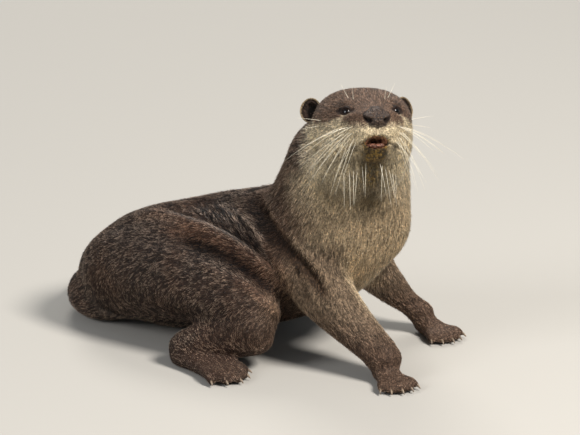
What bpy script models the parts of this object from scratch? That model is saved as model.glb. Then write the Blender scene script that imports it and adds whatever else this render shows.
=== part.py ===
"""Smooth-coated otter, life size, crouched on the floor with its forefeet braced and its head raised.

Metres, +Z up. The animal points along +X from rump to chest, so its left side is +Y. The spine bends to
the right in front, the head looks out to the right and up, and the tail curls round behind on the left.
The skin is one body fused from lofts and muscle masses, then parted by thin cuts into named sub-parts.
"""

import math

import bmesh
import bpy
from mathutils import Matrix, Vector

MM = 0.001

# Driving sizes of the animal
GAP = 0.35  # mm of air left between two sub-parts that meet
SKIN_VOXEL = 2.4 * MM  # grid that fuses the masses into one skin
BODY_ROUNDS = 40  # rounds of smoothing that blend the masses of the body
FINE_ROUNDS = 13  # the same on the face and the feet
SHARP_ANGLE = 35.0  # degrees between faces past which an edge is drawn sharp
BIG = 1.0  # half size of the blocks that trim at a plane

# Head, in mm: frame at the middle of the skull, x to the nose, y to the left, z to the crown
HEAD_AT = Vector((0.0212, -0.0506, 0.2650))
HEAD_HEADING = -56.5
HEAD_PITCH = 26.0
HEAD_ROLL = -2.6
EYE_SITE = (48.4, 24.8, 10.3)
EYE_GAZE = (0.79, 0.54, 0.14)
EYE_RADIUS = 6.6
LID_THICKNESS = 2.0
EYE_OPENING = (7.5, 6.6, 4.6)  # depth, half width and half height of the opening between the lids
EYE_SLANT = 8.0  # degrees by which the outer corner of the eye sits higher
EAR_SITE = (-20.0, 52.3, 26.8)
EAR_FACING = (0.80, 0.58, 0.12)
EAR_SIZE = (8.5, 11.5, 13.0)  # half depth, half width and half height
EAR_WALL = 2.4
EAR_CUP_OUT = 5.5  # how far the hollow of the cup is moved out of the ear
NOSE_SITE = (78.5, 0.0, 1.0)
NOSE_SIZE = (10.5, 13.9, 11.0)  # half length, half width and half height
NOSE_TOP_CURVE = 1.6  # under 2, the pad narrows to its top like a rounded triangle
NOSE_BASE_CURVE = 3.2  # over 2, its lower corners are fuller than an ellipse's
NOSTRIL_SITE = (85.5, 9.4, -1.0)
NOSTRIL_SIZE = (5.0, 2.6, 3.4)
MOUTH_CORNER = (46.0, 0.0, -30.5)
MOUTH_SLOPE = 7.0  # degrees by which the mouth line rises to the front
LIP_PARTING = 1.0  # height of the slit between the lips
JAW_SITE = (62.0, 0.0, -38.0)
JAW_SIZE = (34.0, 27.0, 17.0)
HEAD_SPAN = 90.0  # longer than the head is from its middle
PHILTRUM_SITE = (84.0, 0.0, -15.0)
PHILTRUM_SIZE = (5.0, 0.8, 6.0)
GAPE_SITE = (78.0, 0.0, -26.5)
GAPE_SIZE = (22.0, 12.0, 5.8)
TONGUE_SITE = (62.5, 0.0, -30.0)
TONGUE_SIZE = (11.5, 8.0, 2.3)

# Claws and toes
TOES = 5
TOE_FAN = 13.0  # degrees between neighbouring toes
TOE_LIFT = 1.3  # height of a toe's root over the floor, in toe radii
CLAW_LENGTH = 8.5
CLAW_RADIUS = 1.7
CLAW_SUNK = 3.0  # length of the claw inside the toe
CLAW_DROOP = 26.0  # degrees by which the claw points down

# Triangles that each region of the skin keeps
FACE_BUDGET = (("body", 1750), ("feet", 1300), ("head", 2300))

# Materials as linear base colour and roughness; no part is metal
MATERIALS = {
    "coat_dark": ((0.060, 0.044, 0.034), 0.80),
    "coat_brown": ((0.120, 0.090, 0.068), 0.80),
    "coat_pale": ((0.400, 0.345, 0.240), 0.80),
    "nose_skin": ((0.034, 0.028, 0.027), 0.55),
    "eye_wet": ((0.012, 0.008, 0.006), 0.08),
    "claw_horn": ((0.170, 0.130, 0.098), 0.45),
    "tongue_pink": ((0.420, 0.170, 0.150), 0.40),
}

UP = (0.0, 0.0, 1.0)

# Spine from the rump to the skull: centre, dorsal direction, half width, height above, depth below
SPINE = (
    ((-0.323, -0.016, 0.032), UP, 0.015, 0.012, 0.014),
    ((-0.312, -0.016, 0.038), UP, 0.035, 0.030, 0.034),
    ((-0.290, -0.014, 0.050), UP, 0.052, 0.049, 0.050),
    ((-0.249, -0.008, 0.064), UP, 0.066, 0.065, 0.067),
    ((-0.198, -0.005, 0.073), UP, 0.069, 0.072, 0.076),
    ((-0.145, -0.005, 0.085), UP, 0.070, 0.076, 0.082),
    ((-0.098, -0.006, 0.096), (-0.20, 0.05, 0.95), 0.074, 0.076, 0.076),
    ((-0.054, -0.007, 0.112), (-0.50, 0.25, 0.80), 0.079, 0.076, 0.072),
    ((-0.028, -0.010, 0.142), (-0.78, 0.45, 0.42), 0.082, 0.076, 0.070),
    ((-0.014, -0.017, 0.180), (-0.80, 0.55, 0.20), 0.078, 0.071, 0.062),
    ((-0.006, -0.025, 0.210), (-0.72, 0.68, 0.16), 0.071, 0.063, 0.057),
    ((0.003, -0.033, 0.238), (-0.62, 0.76, 0.20), 0.062, 0.053, 0.058),
    ((0.014, -0.042, 0.260), (-0.54, 0.80, 0.25), 0.030, 0.028, 0.028),
)

# Skull and muzzle in the head frame, mm: distance forward, half width, height above, depth below
SKULL = (
    (-64.0, 20.0, 14.0, 16.0),
    (-55.0, 40.0, 31.0, 34.0),
    (-38.0, 51.0, 41.0, 46.0),
    (-15.0, 54.0, 45.0, 50.0),
    (8.0, 53.0, 44.5, 50.0),
    (26.0, 49.5, 38.5, 48.0),
    (41.0, 42.0, 28.5, 45.5),
    (54.0, 35.5, 20.0, 42.5),
    (66.0, 29.5, 13.5, 36.0),
    (75.0, 23.5, 9.0, 28.0),
    (80.5, 17.0, 6.0, 22.0),
    (84.0, 8.0, 2.5, 15.0),
)

SKULL_FULLNESS = 0.82  # under 1, the skull is broader and flatter than an ellipse across

# Muscle masses of each side of the head: centre and radii in the head frame
FACE_MASSES = (
    ((67.0, 11.5, -11.5), (17.5, 15.5, 12.0)),
    ((33.0, 24.0, 18.0), (17.0, 12.0, 9.5)),
    ((14.0, 27.5, -20.0), (38.0, 22.5, 28.0)),
    ((-14.0, 32.0, -2.0), (34.0, 24.5, 36.0)),
)
MIDDLE_MASSES = {
    "chin": ((53.0, 0.0, -33.5), (22.0, 17.0, 12.0)),
    "lower_lip": ((65.0, 0.0, -32.5), (12.0, 14.0, 5.5)),
    "throat": ((2.0, -7.0, -45.0), (44.0, 51.5, 35.0)),
}

# Tail: centre, half width and half height
TAIL = (
    (-0.268, -0.016, 0.044, 0.043, 0.040),
    (-0.297, -0.022, 0.029, 0.039, 0.031),
    (-0.316, -0.005, 0.0255, 0.0330, 0.0275),
    (-0.326, 0.036, 0.0228, 0.0295, 0.0255),
    (-0.325, 0.086, 0.0178, 0.0265, 0.0205),
    (-0.309, 0.140, 0.0136, 0.0230, 0.0162),
    (-0.280, 0.180, 0.0106, 0.0195, 0.0132),
    (-0.243, 0.210, 0.0078, 0.0155, 0.0102),
    (-0.203, 0.230, 0.0055, 0.0112, 0.0078),
    (-0.170, 0.239, 0.0035, 0.0070, 0.0052),
)

# Limbs from the body outwards: centre, half width and half height
LIMBS = {
    "arm_right": (
        (-0.056, -0.044, 0.150, 0.040, 0.042),
        (-0.040, -0.058, 0.118, 0.041, 0.039),
        (-0.020, -0.069, 0.088, 0.037, 0.034),
        (0.010, -0.078, 0.062, 0.0300, 0.0275),
        (0.039, -0.086, 0.042, 0.0250, 0.0230),
        (0.061, -0.092, 0.026, 0.0215, 0.0195),
        (0.071, -0.097, 0.018, 0.0195, 0.0165),
    ),
    "arm_left": (
        (-0.030, 0.032, 0.150, 0.036, 0.040),
        (-0.022, 0.042, 0.108, 0.036, 0.035),
        (-0.006, 0.051, 0.074, 0.0290, 0.0260),
        (0.014, 0.060, 0.049, 0.0215, 0.0200),
        (0.030, 0.065, 0.034, 0.0165, 0.0150),
        (0.043, 0.069, 0.023, 0.0155, 0.0140),
        (0.050, 0.070, 0.017, 0.0155, 0.0138),
    ),
    "thigh_right": (
        (-0.285, -0.034, 0.054, 0.042, 0.048),
        (-0.256, -0.042, 0.066, 0.048, 0.052),
        (-0.215, -0.060, 0.073, 0.048, 0.050),
        (-0.160, -0.081, 0.075, 0.042, 0.044),
        (-0.112, -0.096, 0.068, 0.036, 0.038),
        (-0.074, -0.104, 0.057, 0.030, 0.032),
    ),
    "thigh_left": (
        (-0.262, 0.026, 0.060, 0.050, 0.050),
        (-0.215, 0.048, 0.063, 0.047, 0.047),
        (-0.168, 0.068, 0.062, 0.041, 0.042),
        (-0.128, 0.083, 0.059, 0.035, 0.037),
        (-0.100, 0.091, 0.052, 0.030, 0.032),
    ),
    "flank_right": (
        (-0.235, -0.036, 0.092, 0.036, 0.038),
        (-0.190, -0.050, 0.100, 0.034, 0.036),
        (-0.145, -0.060, 0.106, 0.030, 0.033),
        (-0.102, -0.071, 0.101, 0.026, 0.029),
        (-0.072, -0.078, 0.090, 0.022, 0.026),
    ),
    "flank_left": (
        (-0.235, 0.024, 0.074, 0.036, 0.036),
        (-0.190, 0.037, 0.080, 0.034, 0.034),
        (-0.148, 0.050, 0.082, 0.029, 0.031),
        (-0.112, 0.061, 0.078, 0.025, 0.027),
        (-0.090, 0.069, 0.070, 0.021, 0.024),
    ),
    "shank_right": (
        (-0.074, -0.112, 0.046, 0.0250, 0.0290),
        (-0.112, -0.121, 0.034, 0.0220, 0.0250),
        (-0.146, -0.128, 0.025, 0.0180, 0.0200),
        (-0.162, -0.131, 0.018, 0.0160, 0.0165),
    ),
    "shank_left": (
        (-0.090, 0.104, 0.044, 0.0250, 0.0285),
        (-0.126, 0.113, 0.033, 0.0215, 0.0245),
        (-0.158, 0.120, 0.025, 0.0180, 0.0200),
        (-0.174, 0.123, 0.018, 0.0160, 0.0165),
    ),
}

# Feet: heel or wrist on the floor, heading, length to the toe roots, half width, toe length, toe radius
FEET = {
    "forepaw_right": ((0.064, -0.096), -46.0, 0.030, 0.0175, 0.024, 0.0052),
    "forepaw_left": ((0.048, 0.070), -33.0, 0.030, 0.0175, 0.024, 0.0052),
    "hindfoot_right": ((-0.160, -0.130), -24.0, 0.060, 0.0200, 0.036, 0.0058),
    "hindfoot_left": ((-0.172, 0.122), 22.0, 0.060, 0.0200, 0.036, 0.0058),
}
FOOT_HEIGHT = 0.030  # a foot's fine detail lies below this
FOOT_REACH = 0.012  # the fineness of a foot fades out over this distance

# Balls whose hull takes a limb or the tail off the trunk: centre and radius
LIMB_HULLS = {
    "arm_right": (
        (-0.040, -0.082, 0.142, 0.036),
        (-0.006, -0.083, 0.084, 0.041),
        (0.036, -0.087, 0.040, 0.030),
        (0.095, -0.124, 0.010, 0.040),
    ),
    "arm_left": (
        (-0.014, 0.068, 0.112, 0.026),
        (0.008, 0.064, 0.062, 0.031),
        (0.050, 0.072, 0.024, 0.028),
        (0.082, 0.050, 0.010, 0.042),
    ),
    "leg_right": (
        (-0.262, -0.092, 0.078, 0.052),
        (-0.140, -0.104, 0.082, 0.050),
        (-0.070, -0.116, 0.060, 0.048),
        (-0.150, -0.130, 0.010, 0.038),
        (-0.080, -0.166, 0.006, 0.042),
    ),
    "leg_left": (
        (-0.262, 0.082, 0.076, 0.052),
        (-0.150, 0.096, 0.078, 0.048),
        (-0.088, 0.108, 0.056, 0.046),
        (-0.162, 0.122, 0.010, 0.038),
        (-0.088, 0.156, 0.006, 0.042),
    ),
    "tail": (
        (-0.330, 0.028, 0.030, 0.034),
        (-0.345, 0.085, 0.020, 0.036),
        (-0.300, 0.180, 0.010, 0.036),
        (-0.165, 0.242, 0.004, 0.016),
    ),
}

# Cuts across a body: the lower part's name, a point on the cut and the direction of the rest
TRUNK_CUTS = (
    ("hips", (-0.208, 0.0, 0.080), (1.0, 0.0, 0.10)),
    ("belly", (-0.118, 0.0, 0.090), (0.96, 0.0, 0.28)),
    ("chest", (-0.022, -0.015, 0.172), (0.42, -0.26, 0.87)),
)
ARM_RIGHT_CUTS = (
    ("upper_arm_right", (-0.004, -0.076, 0.072), (0.66, -0.24, -0.71)),
    ("forearm_right", (0.061, -0.094, 0.024), (0.72, -0.36, -0.60)),
)
ARM_LEFT_CUTS = (
    ("upper_arm_left", (0.000, 0.053, 0.064), (0.62, 0.26, -0.74)),
    ("forearm_left", (0.045, 0.070, 0.021), (0.74, 0.16, -0.65)),
)
LEG_RIGHT_CUTS = (
    ("thigh_right", (-0.100, -0.116, 0.047), (-0.20, -0.22, -0.95)),
    ("shank_right", (-0.150, -0.132, 0.0195), (0.10, -0.20, -0.97)),
)
LEG_LEFT_CUTS = (
    ("thigh_left", (-0.114, 0.108, 0.045), (-0.20, 0.22, -0.95)),
    ("shank_left", (-0.162, 0.124, 0.0195), (0.10, 0.20, -0.97)),
)
TAIL_CUTS = (
    ("tail_base", (-0.327, 0.088, 0.018), (0.10, 1.0, 0.0)),
    ("tail_middle", (-0.284, 0.176, 0.011), (0.64, 0.77, 0.0)),
)
NECK_CUT = ((-16.0, 0.0, -42.0), (0.60, 0.0, 0.80))  # point and direction in the head frame


def clear_scene():
    for obj in list(bpy.data.objects):
        bpy.data.objects.remove(obj, do_unlink=True)


def collection(name, shown=True):
    made = bpy.data.collections.new(name)
    made.hide_render = not shown
    bpy.context.scene.collection.children.link(made)
    return made


def material(name):
    colour, roughness = MATERIALS[name]
    made = bpy.data.materials.get(name) or bpy.data.materials.new(name)
    made.use_nodes = True
    shader = made.node_tree.nodes["Principled BSDF"]
    shader.inputs["Base Color"].default_value = (*colour, 1.0)
    shader.inputs["Roughness"].default_value = roughness
    shader.inputs["Metallic"].default_value = 0.0
    return made


def object_from(bm, name, group):
    """The bmesh as a new object of the group, its normals turned outwards."""
    bmesh.ops.recalc_face_normals(bm, faces=bm.faces)
    mesh = bpy.data.meshes.new(name)
    bm.to_mesh(mesh)
    bm.free()
    obj = bpy.data.objects.new(name, mesh)
    obj.display_type = "WIRE" if group.hide_render else "TEXTURED"
    group.objects.link(obj)
    return obj


def copy_of(obj, name, group):
    made = bpy.data.objects.new(name, obj.data.copy())
    group.objects.link(made)
    return made


def remove(*objects):
    for obj in objects:
        bpy.data.objects.remove(obj, do_unlink=True)


def head_frame():
    """The head frame's matrix, from millimetres at the skull to the world."""
    turn = (
        Matrix.Rotation(math.radians(HEAD_HEADING), 4, "Z")
        @ Matrix.Rotation(math.radians(-HEAD_PITCH), 4, "Y")
        @ Matrix.Rotation(math.radians(HEAD_ROLL), 4, "X")
    )
    return Matrix.Translation(HEAD_AT) @ turn @ Matrix.Scale(MM, 4)


def facing(direction):
    """A turn whose x axis is the direction and whose z axis is as near to up as it can be."""
    x = Vector(direction).normalized()
    y = Vector(UP).cross(x).normalized()
    z = x.cross(y)
    return Matrix((x, y, z)).transposed().to_4x4()


def sided(values, sign):
    """A place or direction given for the left side, mirrored to the right where sign is -1."""
    x, y, z = values
    return Vector((x, y * sign, z))


def curve_value(values, at):
    """Catmull-Rom value of a list of vectors at a position counted in list places."""
    last = len(values) - 1
    i = min(int(at), last - 1)
    t = at - i
    before, here, there, after = values[max(i - 1, 0)], values[i], values[i + 1], values[min(i + 2, last)]
    return (
        here
        + (there - before) * (0.5 * t)
        + (before * 2 - here * 5 + there * 4 - after) * (0.5 * t * t)
        + (here * 3 - before - there * 3 + after) * (0.5 * t**3)
    )


def squared(value, fullness):
    """A sine or cosine pushed out towards its ends, which turns an ellipse into a fuller outline."""
    return math.copysign(abs(value) ** fullness, value)


def loft(name, stations, group, sides=28, steps=5, fullness=1.0, place=Matrix()):
    """A closed skin through stations of (centre, dorsal direction, half width, height above, depth below)."""
    centres = [Vector(station[0]) for station in stations]
    dorsals = [Vector(station[1]).normalized() for station in stations]
    sizes = [Vector(station[2:5]) for station in stations]
    last = len(stations) - 1
    bm = bmesh.new()
    rings = []
    for k in range(last * steps + 1):
        at = k / steps
        near = 0.5 / steps
        tangent = curve_value(centres, min(at + near, last)) - curve_value(centres, max(at - near, 0))
        tangent.normalize()
        side = curve_value(dorsals, at).cross(tangent).normalized()
        dorsal = tangent.cross(side)
        centre = curve_value(centres, at)
        width, above, below = curve_value(sizes, at)
        ring = []
        for i in range(sides):
            angle = math.tau * i / sides
            across = width * squared(math.cos(angle), fullness)
            height = (above if math.sin(angle) > 0 else below) * squared(math.sin(angle), fullness)
            ring.append(bm.verts.new(place @ (centre + side * across + dorsal * height)))
        rings.append(ring)
    for first, second in zip(rings, rings[1:]):
        for i in range(sides):
            j = (i + 1) % sides
            bm.faces.new((first[i], first[j], second[j], second[i]))
    bm.faces.new(rings[0])
    bm.faces.new(rings[-1])
    return object_from(bm, name, group)


def limb(name, stations, group, dorsal=UP, sides=20, place=Matrix()):
    """A loft through (x, y, z, half width, half height), with one dorsal direction and rounded ends."""
    full = []
    for x, y, z, width, height in stations:
        full.append((Vector((x, y, z)), dorsal, width, height, height))
    for end, inner, where in ((full[0], full[1], 0), (full[-1], full[-2], len(full) + 1)):
        out = (end[0] - inner[0]).normalized() * (end[3] * 0.6)
        small = [size * 0.35 for size in end[2:5]]
        full.insert(where, (end[0] + out, dorsal, *small))
    return loft(name, full, group, sides=sides, place=place)


def ellipsoid(name, place, radii, group, segments=16, rings=10):
    """A sphere stretched to three radii, in the frame of place."""
    bm = bmesh.new()
    bmesh.ops.create_uvsphere(bm, u_segments=segments, v_segments=rings, radius=1.0)
    bmesh.ops.transform(bm, matrix=place @ Matrix.Diagonal((*radii, 1.0)), verts=bm.verts)
    return object_from(bm, name, group)


def block(name, low, high, group, place=Matrix()):
    """A box between two corners, in the frame of place."""
    bm = bmesh.new()
    bmesh.ops.create_cube(bm, size=1.0)
    low, high = Vector(low), Vector(high)
    matrix = Matrix.Translation((low + high) / 2) @ Matrix.Diagonal((*(high - low), 1.0))
    bmesh.ops.transform(bm, matrix=place @ matrix, verts=bm.verts)
    return object_from(bm, name, group)


def hull(name, balls, grow, group):
    """The convex hull of balls of (x, y, z, radius), grown by a distance."""
    shape = bmesh.new()
    for x, y, z, radius in balls:
        ball = bmesh.ops.create_icosphere(shape, subdivisions=2, radius=radius + grow)
        bmesh.ops.translate(shape, vec=(x, y, z), verts=ball["verts"])
    bm = bmesh.new()
    for vertex in shape.verts:
        bm.verts.new(vertex.co)
    shape.free()
    found = bmesh.ops.convex_hull(bm, input=bm.verts)
    inner = [item for item in found["geom_interior"] if isinstance(item, bmesh.types.BMVert)]
    bmesh.ops.delete(bm, geom=inner, context="VERTS")
    return object_from(bm, name, group)


def apply_modifiers(obj):
    """Keeps the object's evaluated mesh as its own mesh."""
    graph = bpy.context.evaluated_depsgraph_get()
    graph.update()
    mesh = bpy.data.meshes.new_from_object(obj.evaluated_get(graph))
    obj.modifiers.clear()
    obj.data = mesh


def boolean(obj, operation, other):
    """A Boolean with one object or with a whole collection, applied."""
    modifier = obj.modifiers.new("cut", "BOOLEAN")
    modifier.operation = operation
    modifier.solver = "EXACT"
    if isinstance(other, bpy.types.Collection):
        modifier.operand_type = "COLLECTION"
        modifier.collection = other
    else:
        modifier.object = other
    apply_modifiers(obj)


def triangulate(obj):
    bm = bmesh.new()
    bm.from_mesh(obj.data)
    bmesh.ops.triangulate(bm, faces=bm.faces)
    bm.to_mesh(obj.data)
    bm.free()


def joined(name, group, target):
    """All meshes of a collection as one object of another, the sources removed."""
    bm = bmesh.new()
    for obj in list(group.objects):
        bm.from_mesh(obj.data)
        remove(obj)
    return object_from(bm, name, target)


def keep_largest(obj):
    """Keeps only the object's largest closed surface."""
    bm = bmesh.new()
    bm.from_mesh(obj.data)
    seen, shells = set(), []
    for face in bm.faces:
        if face in seen:
            continue
        shell, front = [], [face]
        seen.add(face)
        while front:
            one = front.pop()
            shell.append(one)
            for edge in one.edges:
                fresh = [other for other in edge.link_faces if other not in seen]
                seen.update(fresh)
                front.extend(fresh)
        shells.append(shell)
    shells.sort(key=lambda shell: -sum(face.calc_area() for face in shell))
    spare = [face for shell in shells[1:] for face in shell]
    bmesh.ops.delete(bm, geom=spare, context="FACES")
    bm.to_mesh(obj.data)
    bm.free()


def foot_frame(foot):
    (x, y), heading = FEET[foot][:2]
    return Matrix.Translation((x, y, 0.0)) @ Matrix.Rotation(math.radians(heading), 4, "Z")


def toe_lines(foot):
    """Root, knuckle and tip of each toe in the foot's own frame, from the animal's right to its left."""
    _, _, palm, half_width, toe, radius = FEET[foot]
    lines = []
    middle = (TOES - 1) / 2
    for i in range(TOES):
        aside = i - middle
        angle = math.radians(TOE_FAN * aside)
        length = toe * (1.0 - 0.055 * aside * aside)
        way = Vector((math.cos(angle), math.sin(angle), 0.0))
        root = Vector((palm * (1.0 - 0.05 * abs(aside)), half_width * 0.38 * aside, radius * TOE_LIFT))
        knuckle = root + way * (length * 0.55) + Vector((0, 0, radius * 0.40))
        tip = root + way * length - Vector((0, 0, radius * 0.48))
        lines.append((root, knuckle, tip))
    return lines


def foot_masses(foot, group):
    """Palm, web and toes of one foot."""
    _, _, palm, half_width, toe, radius = FEET[foot]
    place = foot_frame(foot)
    thick = radius * 1.8
    palm_stations = (
        (0.0, 0.0, thick, half_width * 0.78, thick * 1.15),
        (palm * 0.45, 0.0, thick * 0.95, half_width * 0.86, thick * 1.08),
        (palm * 0.95, 0.0, thick * 0.72, half_width, thick * 0.84),
    )
    limb(foot + "_palm", palm_stations, group, place=place)
    web = place @ Matrix.Translation((palm + toe * 0.25, 0.0, radius * 0.85))
    ellipsoid(foot + "_web", web, (toe * 0.75, half_width * 1.15, radius * 0.62), group)
    for i, (root, knuckle, tip) in enumerate(toe_lines(foot)):
        toe_stations = (
            (*root, radius, radius * 1.25),
            (*knuckle, radius * 0.98, radius * 1.02),
            (*tip, radius * 0.84, radius * 0.95),
        )
        limb(f"{foot}_toe_{i}", toe_stations, group, place=place)


def head_masses(group, frame):
    """Skull loft, whisker pads, brows, cheeks, jaw muscles and chin."""
    stations = []
    for x, width, above, below in SKULL:
        stations.append(((x, 0.0, 0.0), UP, width, above, below))
    loft("skull", stations, group, sides=36, fullness=SKULL_FULLNESS, place=frame)
    for centre, radii in FACE_MASSES:
        for sign in (-1.0, 1.0):
            ellipsoid("mass", frame @ Matrix.Translation(sided(centre, sign)), radii, group)
    for name, (centre, radii) in MIDDLE_MASSES.items():
        ellipsoid(name, frame @ Matrix.Translation(centre), radii, group)


def in_head(point, frame):
    """True ahead of the plane that parts head from neck."""
    at, way = Vector(NECK_CUT[0]), Vector(NECK_CUT[1])
    return (frame.inverted() @ point - at).dot(way) > 0.0


def foot_share(point):
    """How much a point belongs to a foot: 1 inside its outline, falling to 0 a little way off."""
    if point.z > FOOT_HEIGHT:
        return 0.0
    best = 0.0
    for foot, (_, _, palm, half_width, toe, _) in FEET.items():
        local = foot_frame(foot).inverted() @ point
        middle = (palm + toe) / 2
        off_length = max(abs(local.x - middle) - middle, 0.0)
        off_width = max(abs(local.y) - half_width * 1.4, 0.0)
        best = max(best, 1.0 - math.hypot(off_length, off_width) / FOOT_REACH)
    return best


def soften(skin, frame):
    """Blends the masses: broadly on the body, lightly on the face and feet."""
    body = skin.vertex_groups.new(name="body")
    fine = skin.vertex_groups.new(name="fine")
    for vertex in skin.data.vertices:
        share = 1.0 if in_head(vertex.co, frame) else foot_share(vertex.co)
        body.add([vertex.index], 1.0 - share, "REPLACE")
        fine.add([vertex.index], share, "REPLACE")
    for group, rounds in ((body, BODY_ROUNDS), (fine, FINE_ROUNDS)):
        smooth = skin.modifiers.new("smooth", "SMOOTH")
        smooth.factor = 0.5
        smooth.iterations = rounds
        smooth.vertex_group = group.name
    apply_modifiers(skin)
    skin.vertex_groups.clear()


def region_of(point, frame):
    if in_head(point, frame):
        return "head"
    return "feet" if foot_share(point) > 0.0 else "body"


def thin_out(skin, frame):
    """Collapses the dense skin region by region, down to each region's budget."""
    triangulate(skin)
    for region, budget in FACE_BUDGET:
        names = [region_of(vertex.co, frame) for vertex in skin.data.vertices]
        inside = [index for index, name in enumerate(names) if name == region]
        count = sum(1 for face in skin.data.polygons if names[face.vertices[0]] == region)
        total = len(skin.data.polygons)
        group = skin.vertex_groups.new(name=region)
        group.add(inside, 1.0, "REPLACE")
        decimate = skin.modifiers.new("thin", "DECIMATE")
        decimate.ratio = (total - count + budget) / total
        decimate.vertex_group = region
        apply_modifiers(skin)
        skin.vertex_groups.clear()


def whole_skin(work, frame):
    """Every mass fused into one closed, smoothed skin that is flat where it rests on the floor."""
    masses = collection("masses", shown=False)
    loft("spine", SPINE, masses)
    limb("tail", TAIL, masses)
    for name, stations in LIMBS.items():
        steep = name.startswith("arm")
        limb(name, stations, masses, dorsal=(0.6, 0.0, 0.8) if steep else UP)
    for foot in FEET:
        foot_masses(foot, masses)
    head_masses(masses, frame)
    skin = joined("skin", masses, work)
    fuse = skin.modifiers.new("fuse", "REMESH")
    fuse.mode = "VOXEL"
    fuse.voxel_size = SKIN_VOXEL
    apply_modifiers(skin)
    soften(skin, frame)
    thin_out(skin, frame)
    floor = block("floor", (-BIG, -BIG, -BIG), (BIG, BIG, 0.0), work)
    boolean(skin, "DIFFERENCE", floor)
    remove(floor)
    keep_largest(skin)
    return skin


def plane_frame(point, way):
    """A frame on a cut, its x axis the way across it."""
    return Matrix.Translation(point) @ facing(way)


def cut_off(body, name, point, way, target, work, gap=GAP * MM):
    """Parts a body at a plane: what lies behind it becomes a sub-part, and the rest stays the body."""
    place = plane_frame(point, way)
    part = copy_of(body, name, target)
    ahead = block("ahead", (-gap / 2, -BIG, -BIG), (BIG, BIG, BIG), work, place)
    behind = block("behind", (-BIG, -BIG, -BIG), (gap / 2, BIG, BIG), work, place)
    boolean(part, "DIFFERENCE", ahead)
    boolean(body, "DIFFERENCE", behind)
    remove(ahead, behind)
    keep_largest(part)
    keep_largest(body)
    return part


def take_out(skin, name, balls, target, work):
    """Takes the part of the skin inside a hull of balls off as a new body."""
    inner = hull("inner", balls, 0.0, work)
    outer = hull("outer", balls, GAP * MM, work)
    part = copy_of(skin, name, target)
    boolean(part, "INTERSECT", inner)
    boolean(skin, "DIFFERENCE", outer)
    remove(inner, outer)
    keep_largest(part)
    keep_largest(skin)
    return part


def make_eye(head, side, sign, target, work, frame):
    """Eyeball in a socket, behind two lids that leave an almond opening."""
    place = frame @ Matrix.Translation(sided(EYE_SITE, sign)) @ facing(sided(EYE_GAZE, sign))
    place = place @ Matrix.Rotation(math.radians(-EYE_SLANT * sign), 4, "X")
    lids = ellipsoid("lids", place, [EYE_RADIUS + GAP + LID_THICKNESS] * 3, work, 14, 9)
    socket = ellipsoid("socket", place, [EYE_RADIUS + GAP] * 3, work, 14, 8)
    opening = ellipsoid("opening", place @ Matrix.Translation((EYE_RADIUS, 0.0, 0.0)), EYE_OPENING, work)
    boolean(head, "UNION", lids)
    boolean(head, "DIFFERENCE", socket)
    boolean(head, "DIFFERENCE", opening)
    keep_largest(head)
    remove(lids, socket, opening)
    return ellipsoid("eye_" + side, place, [EYE_RADIUS] * 3, target, 14, 8)


def make_ear(head, side, sign, target, work, frame):
    """Rounded cup of one ear, let into a pocket at the side of the head."""
    place = frame @ Matrix.Translation(sided(EAR_SITE, sign)) @ facing(sided(EAR_FACING, sign))
    ear = ellipsoid("ear_" + side, place, EAR_SIZE, target)
    pocket = ellipsoid("pocket", place, [size + GAP for size in EAR_SIZE], work)
    cup_place = place @ Matrix.Translation((EAR_CUP_OUT, 0.0, 0.0))
    cup = ellipsoid("cup", cup_place, [size - EAR_WALL for size in EAR_SIZE], work)
    boolean(head, "DIFFERENCE", pocket)
    boolean(head, "DIFFERENCE", cup)
    boolean(ear, "DIFFERENCE", cup)
    remove(pocket, cup)
    return ear


def nose_pad(name, grow, group, frame):
    """A ball whose section narrows to the top and stays full at the base, stretched to the pad's size."""
    bm = bmesh.new()
    bmesh.ops.create_uvsphere(bm, u_segments=20, v_segments=12, radius=1.0)
    for vertex in bm.verts:
        height = min(abs(vertex.co.z), 1.0)
        curve = NOSE_TOP_CURVE if vertex.co.z > 0.0 else NOSE_BASE_CURVE
        round_width = math.sqrt(1.0 - height**2)
        if round_width > 0.01:
            share = (1.0 - height**curve) ** (1.0 / curve) / round_width
            vertex.co.x *= share
            vertex.co.y *= share
    sizes = [size + grow for size in NOSE_SIZE]
    matrix = frame @ Matrix.Translation(NOSE_SITE) @ Matrix.Diagonal((*sizes, 1.0))
    bmesh.ops.transform(bm, matrix=matrix, verts=bm.verts)
    return object_from(bm, name, group)


def make_nose(head, target, work, frame):
    """Bare nose pad with two nostrils, in a pocket at the tip of the muzzle."""
    nose = nose_pad("nose", 0.0, target, frame)
    pocket = nose_pad("pocket", GAP, work, frame)
    boolean(head, "DIFFERENCE", pocket)
    for sign in (-1.0, 1.0):
        nostril_place = frame @ Matrix.Translation(sided(NOSTRIL_SITE, sign))
        nostril = ellipsoid("nostril", nostril_place, NOSTRIL_SIZE, work, 12, 6)
        boolean(nose, "DIFFERENCE", nostril)
        remove(nostril)
    remove(pocket)
    return nose


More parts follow.
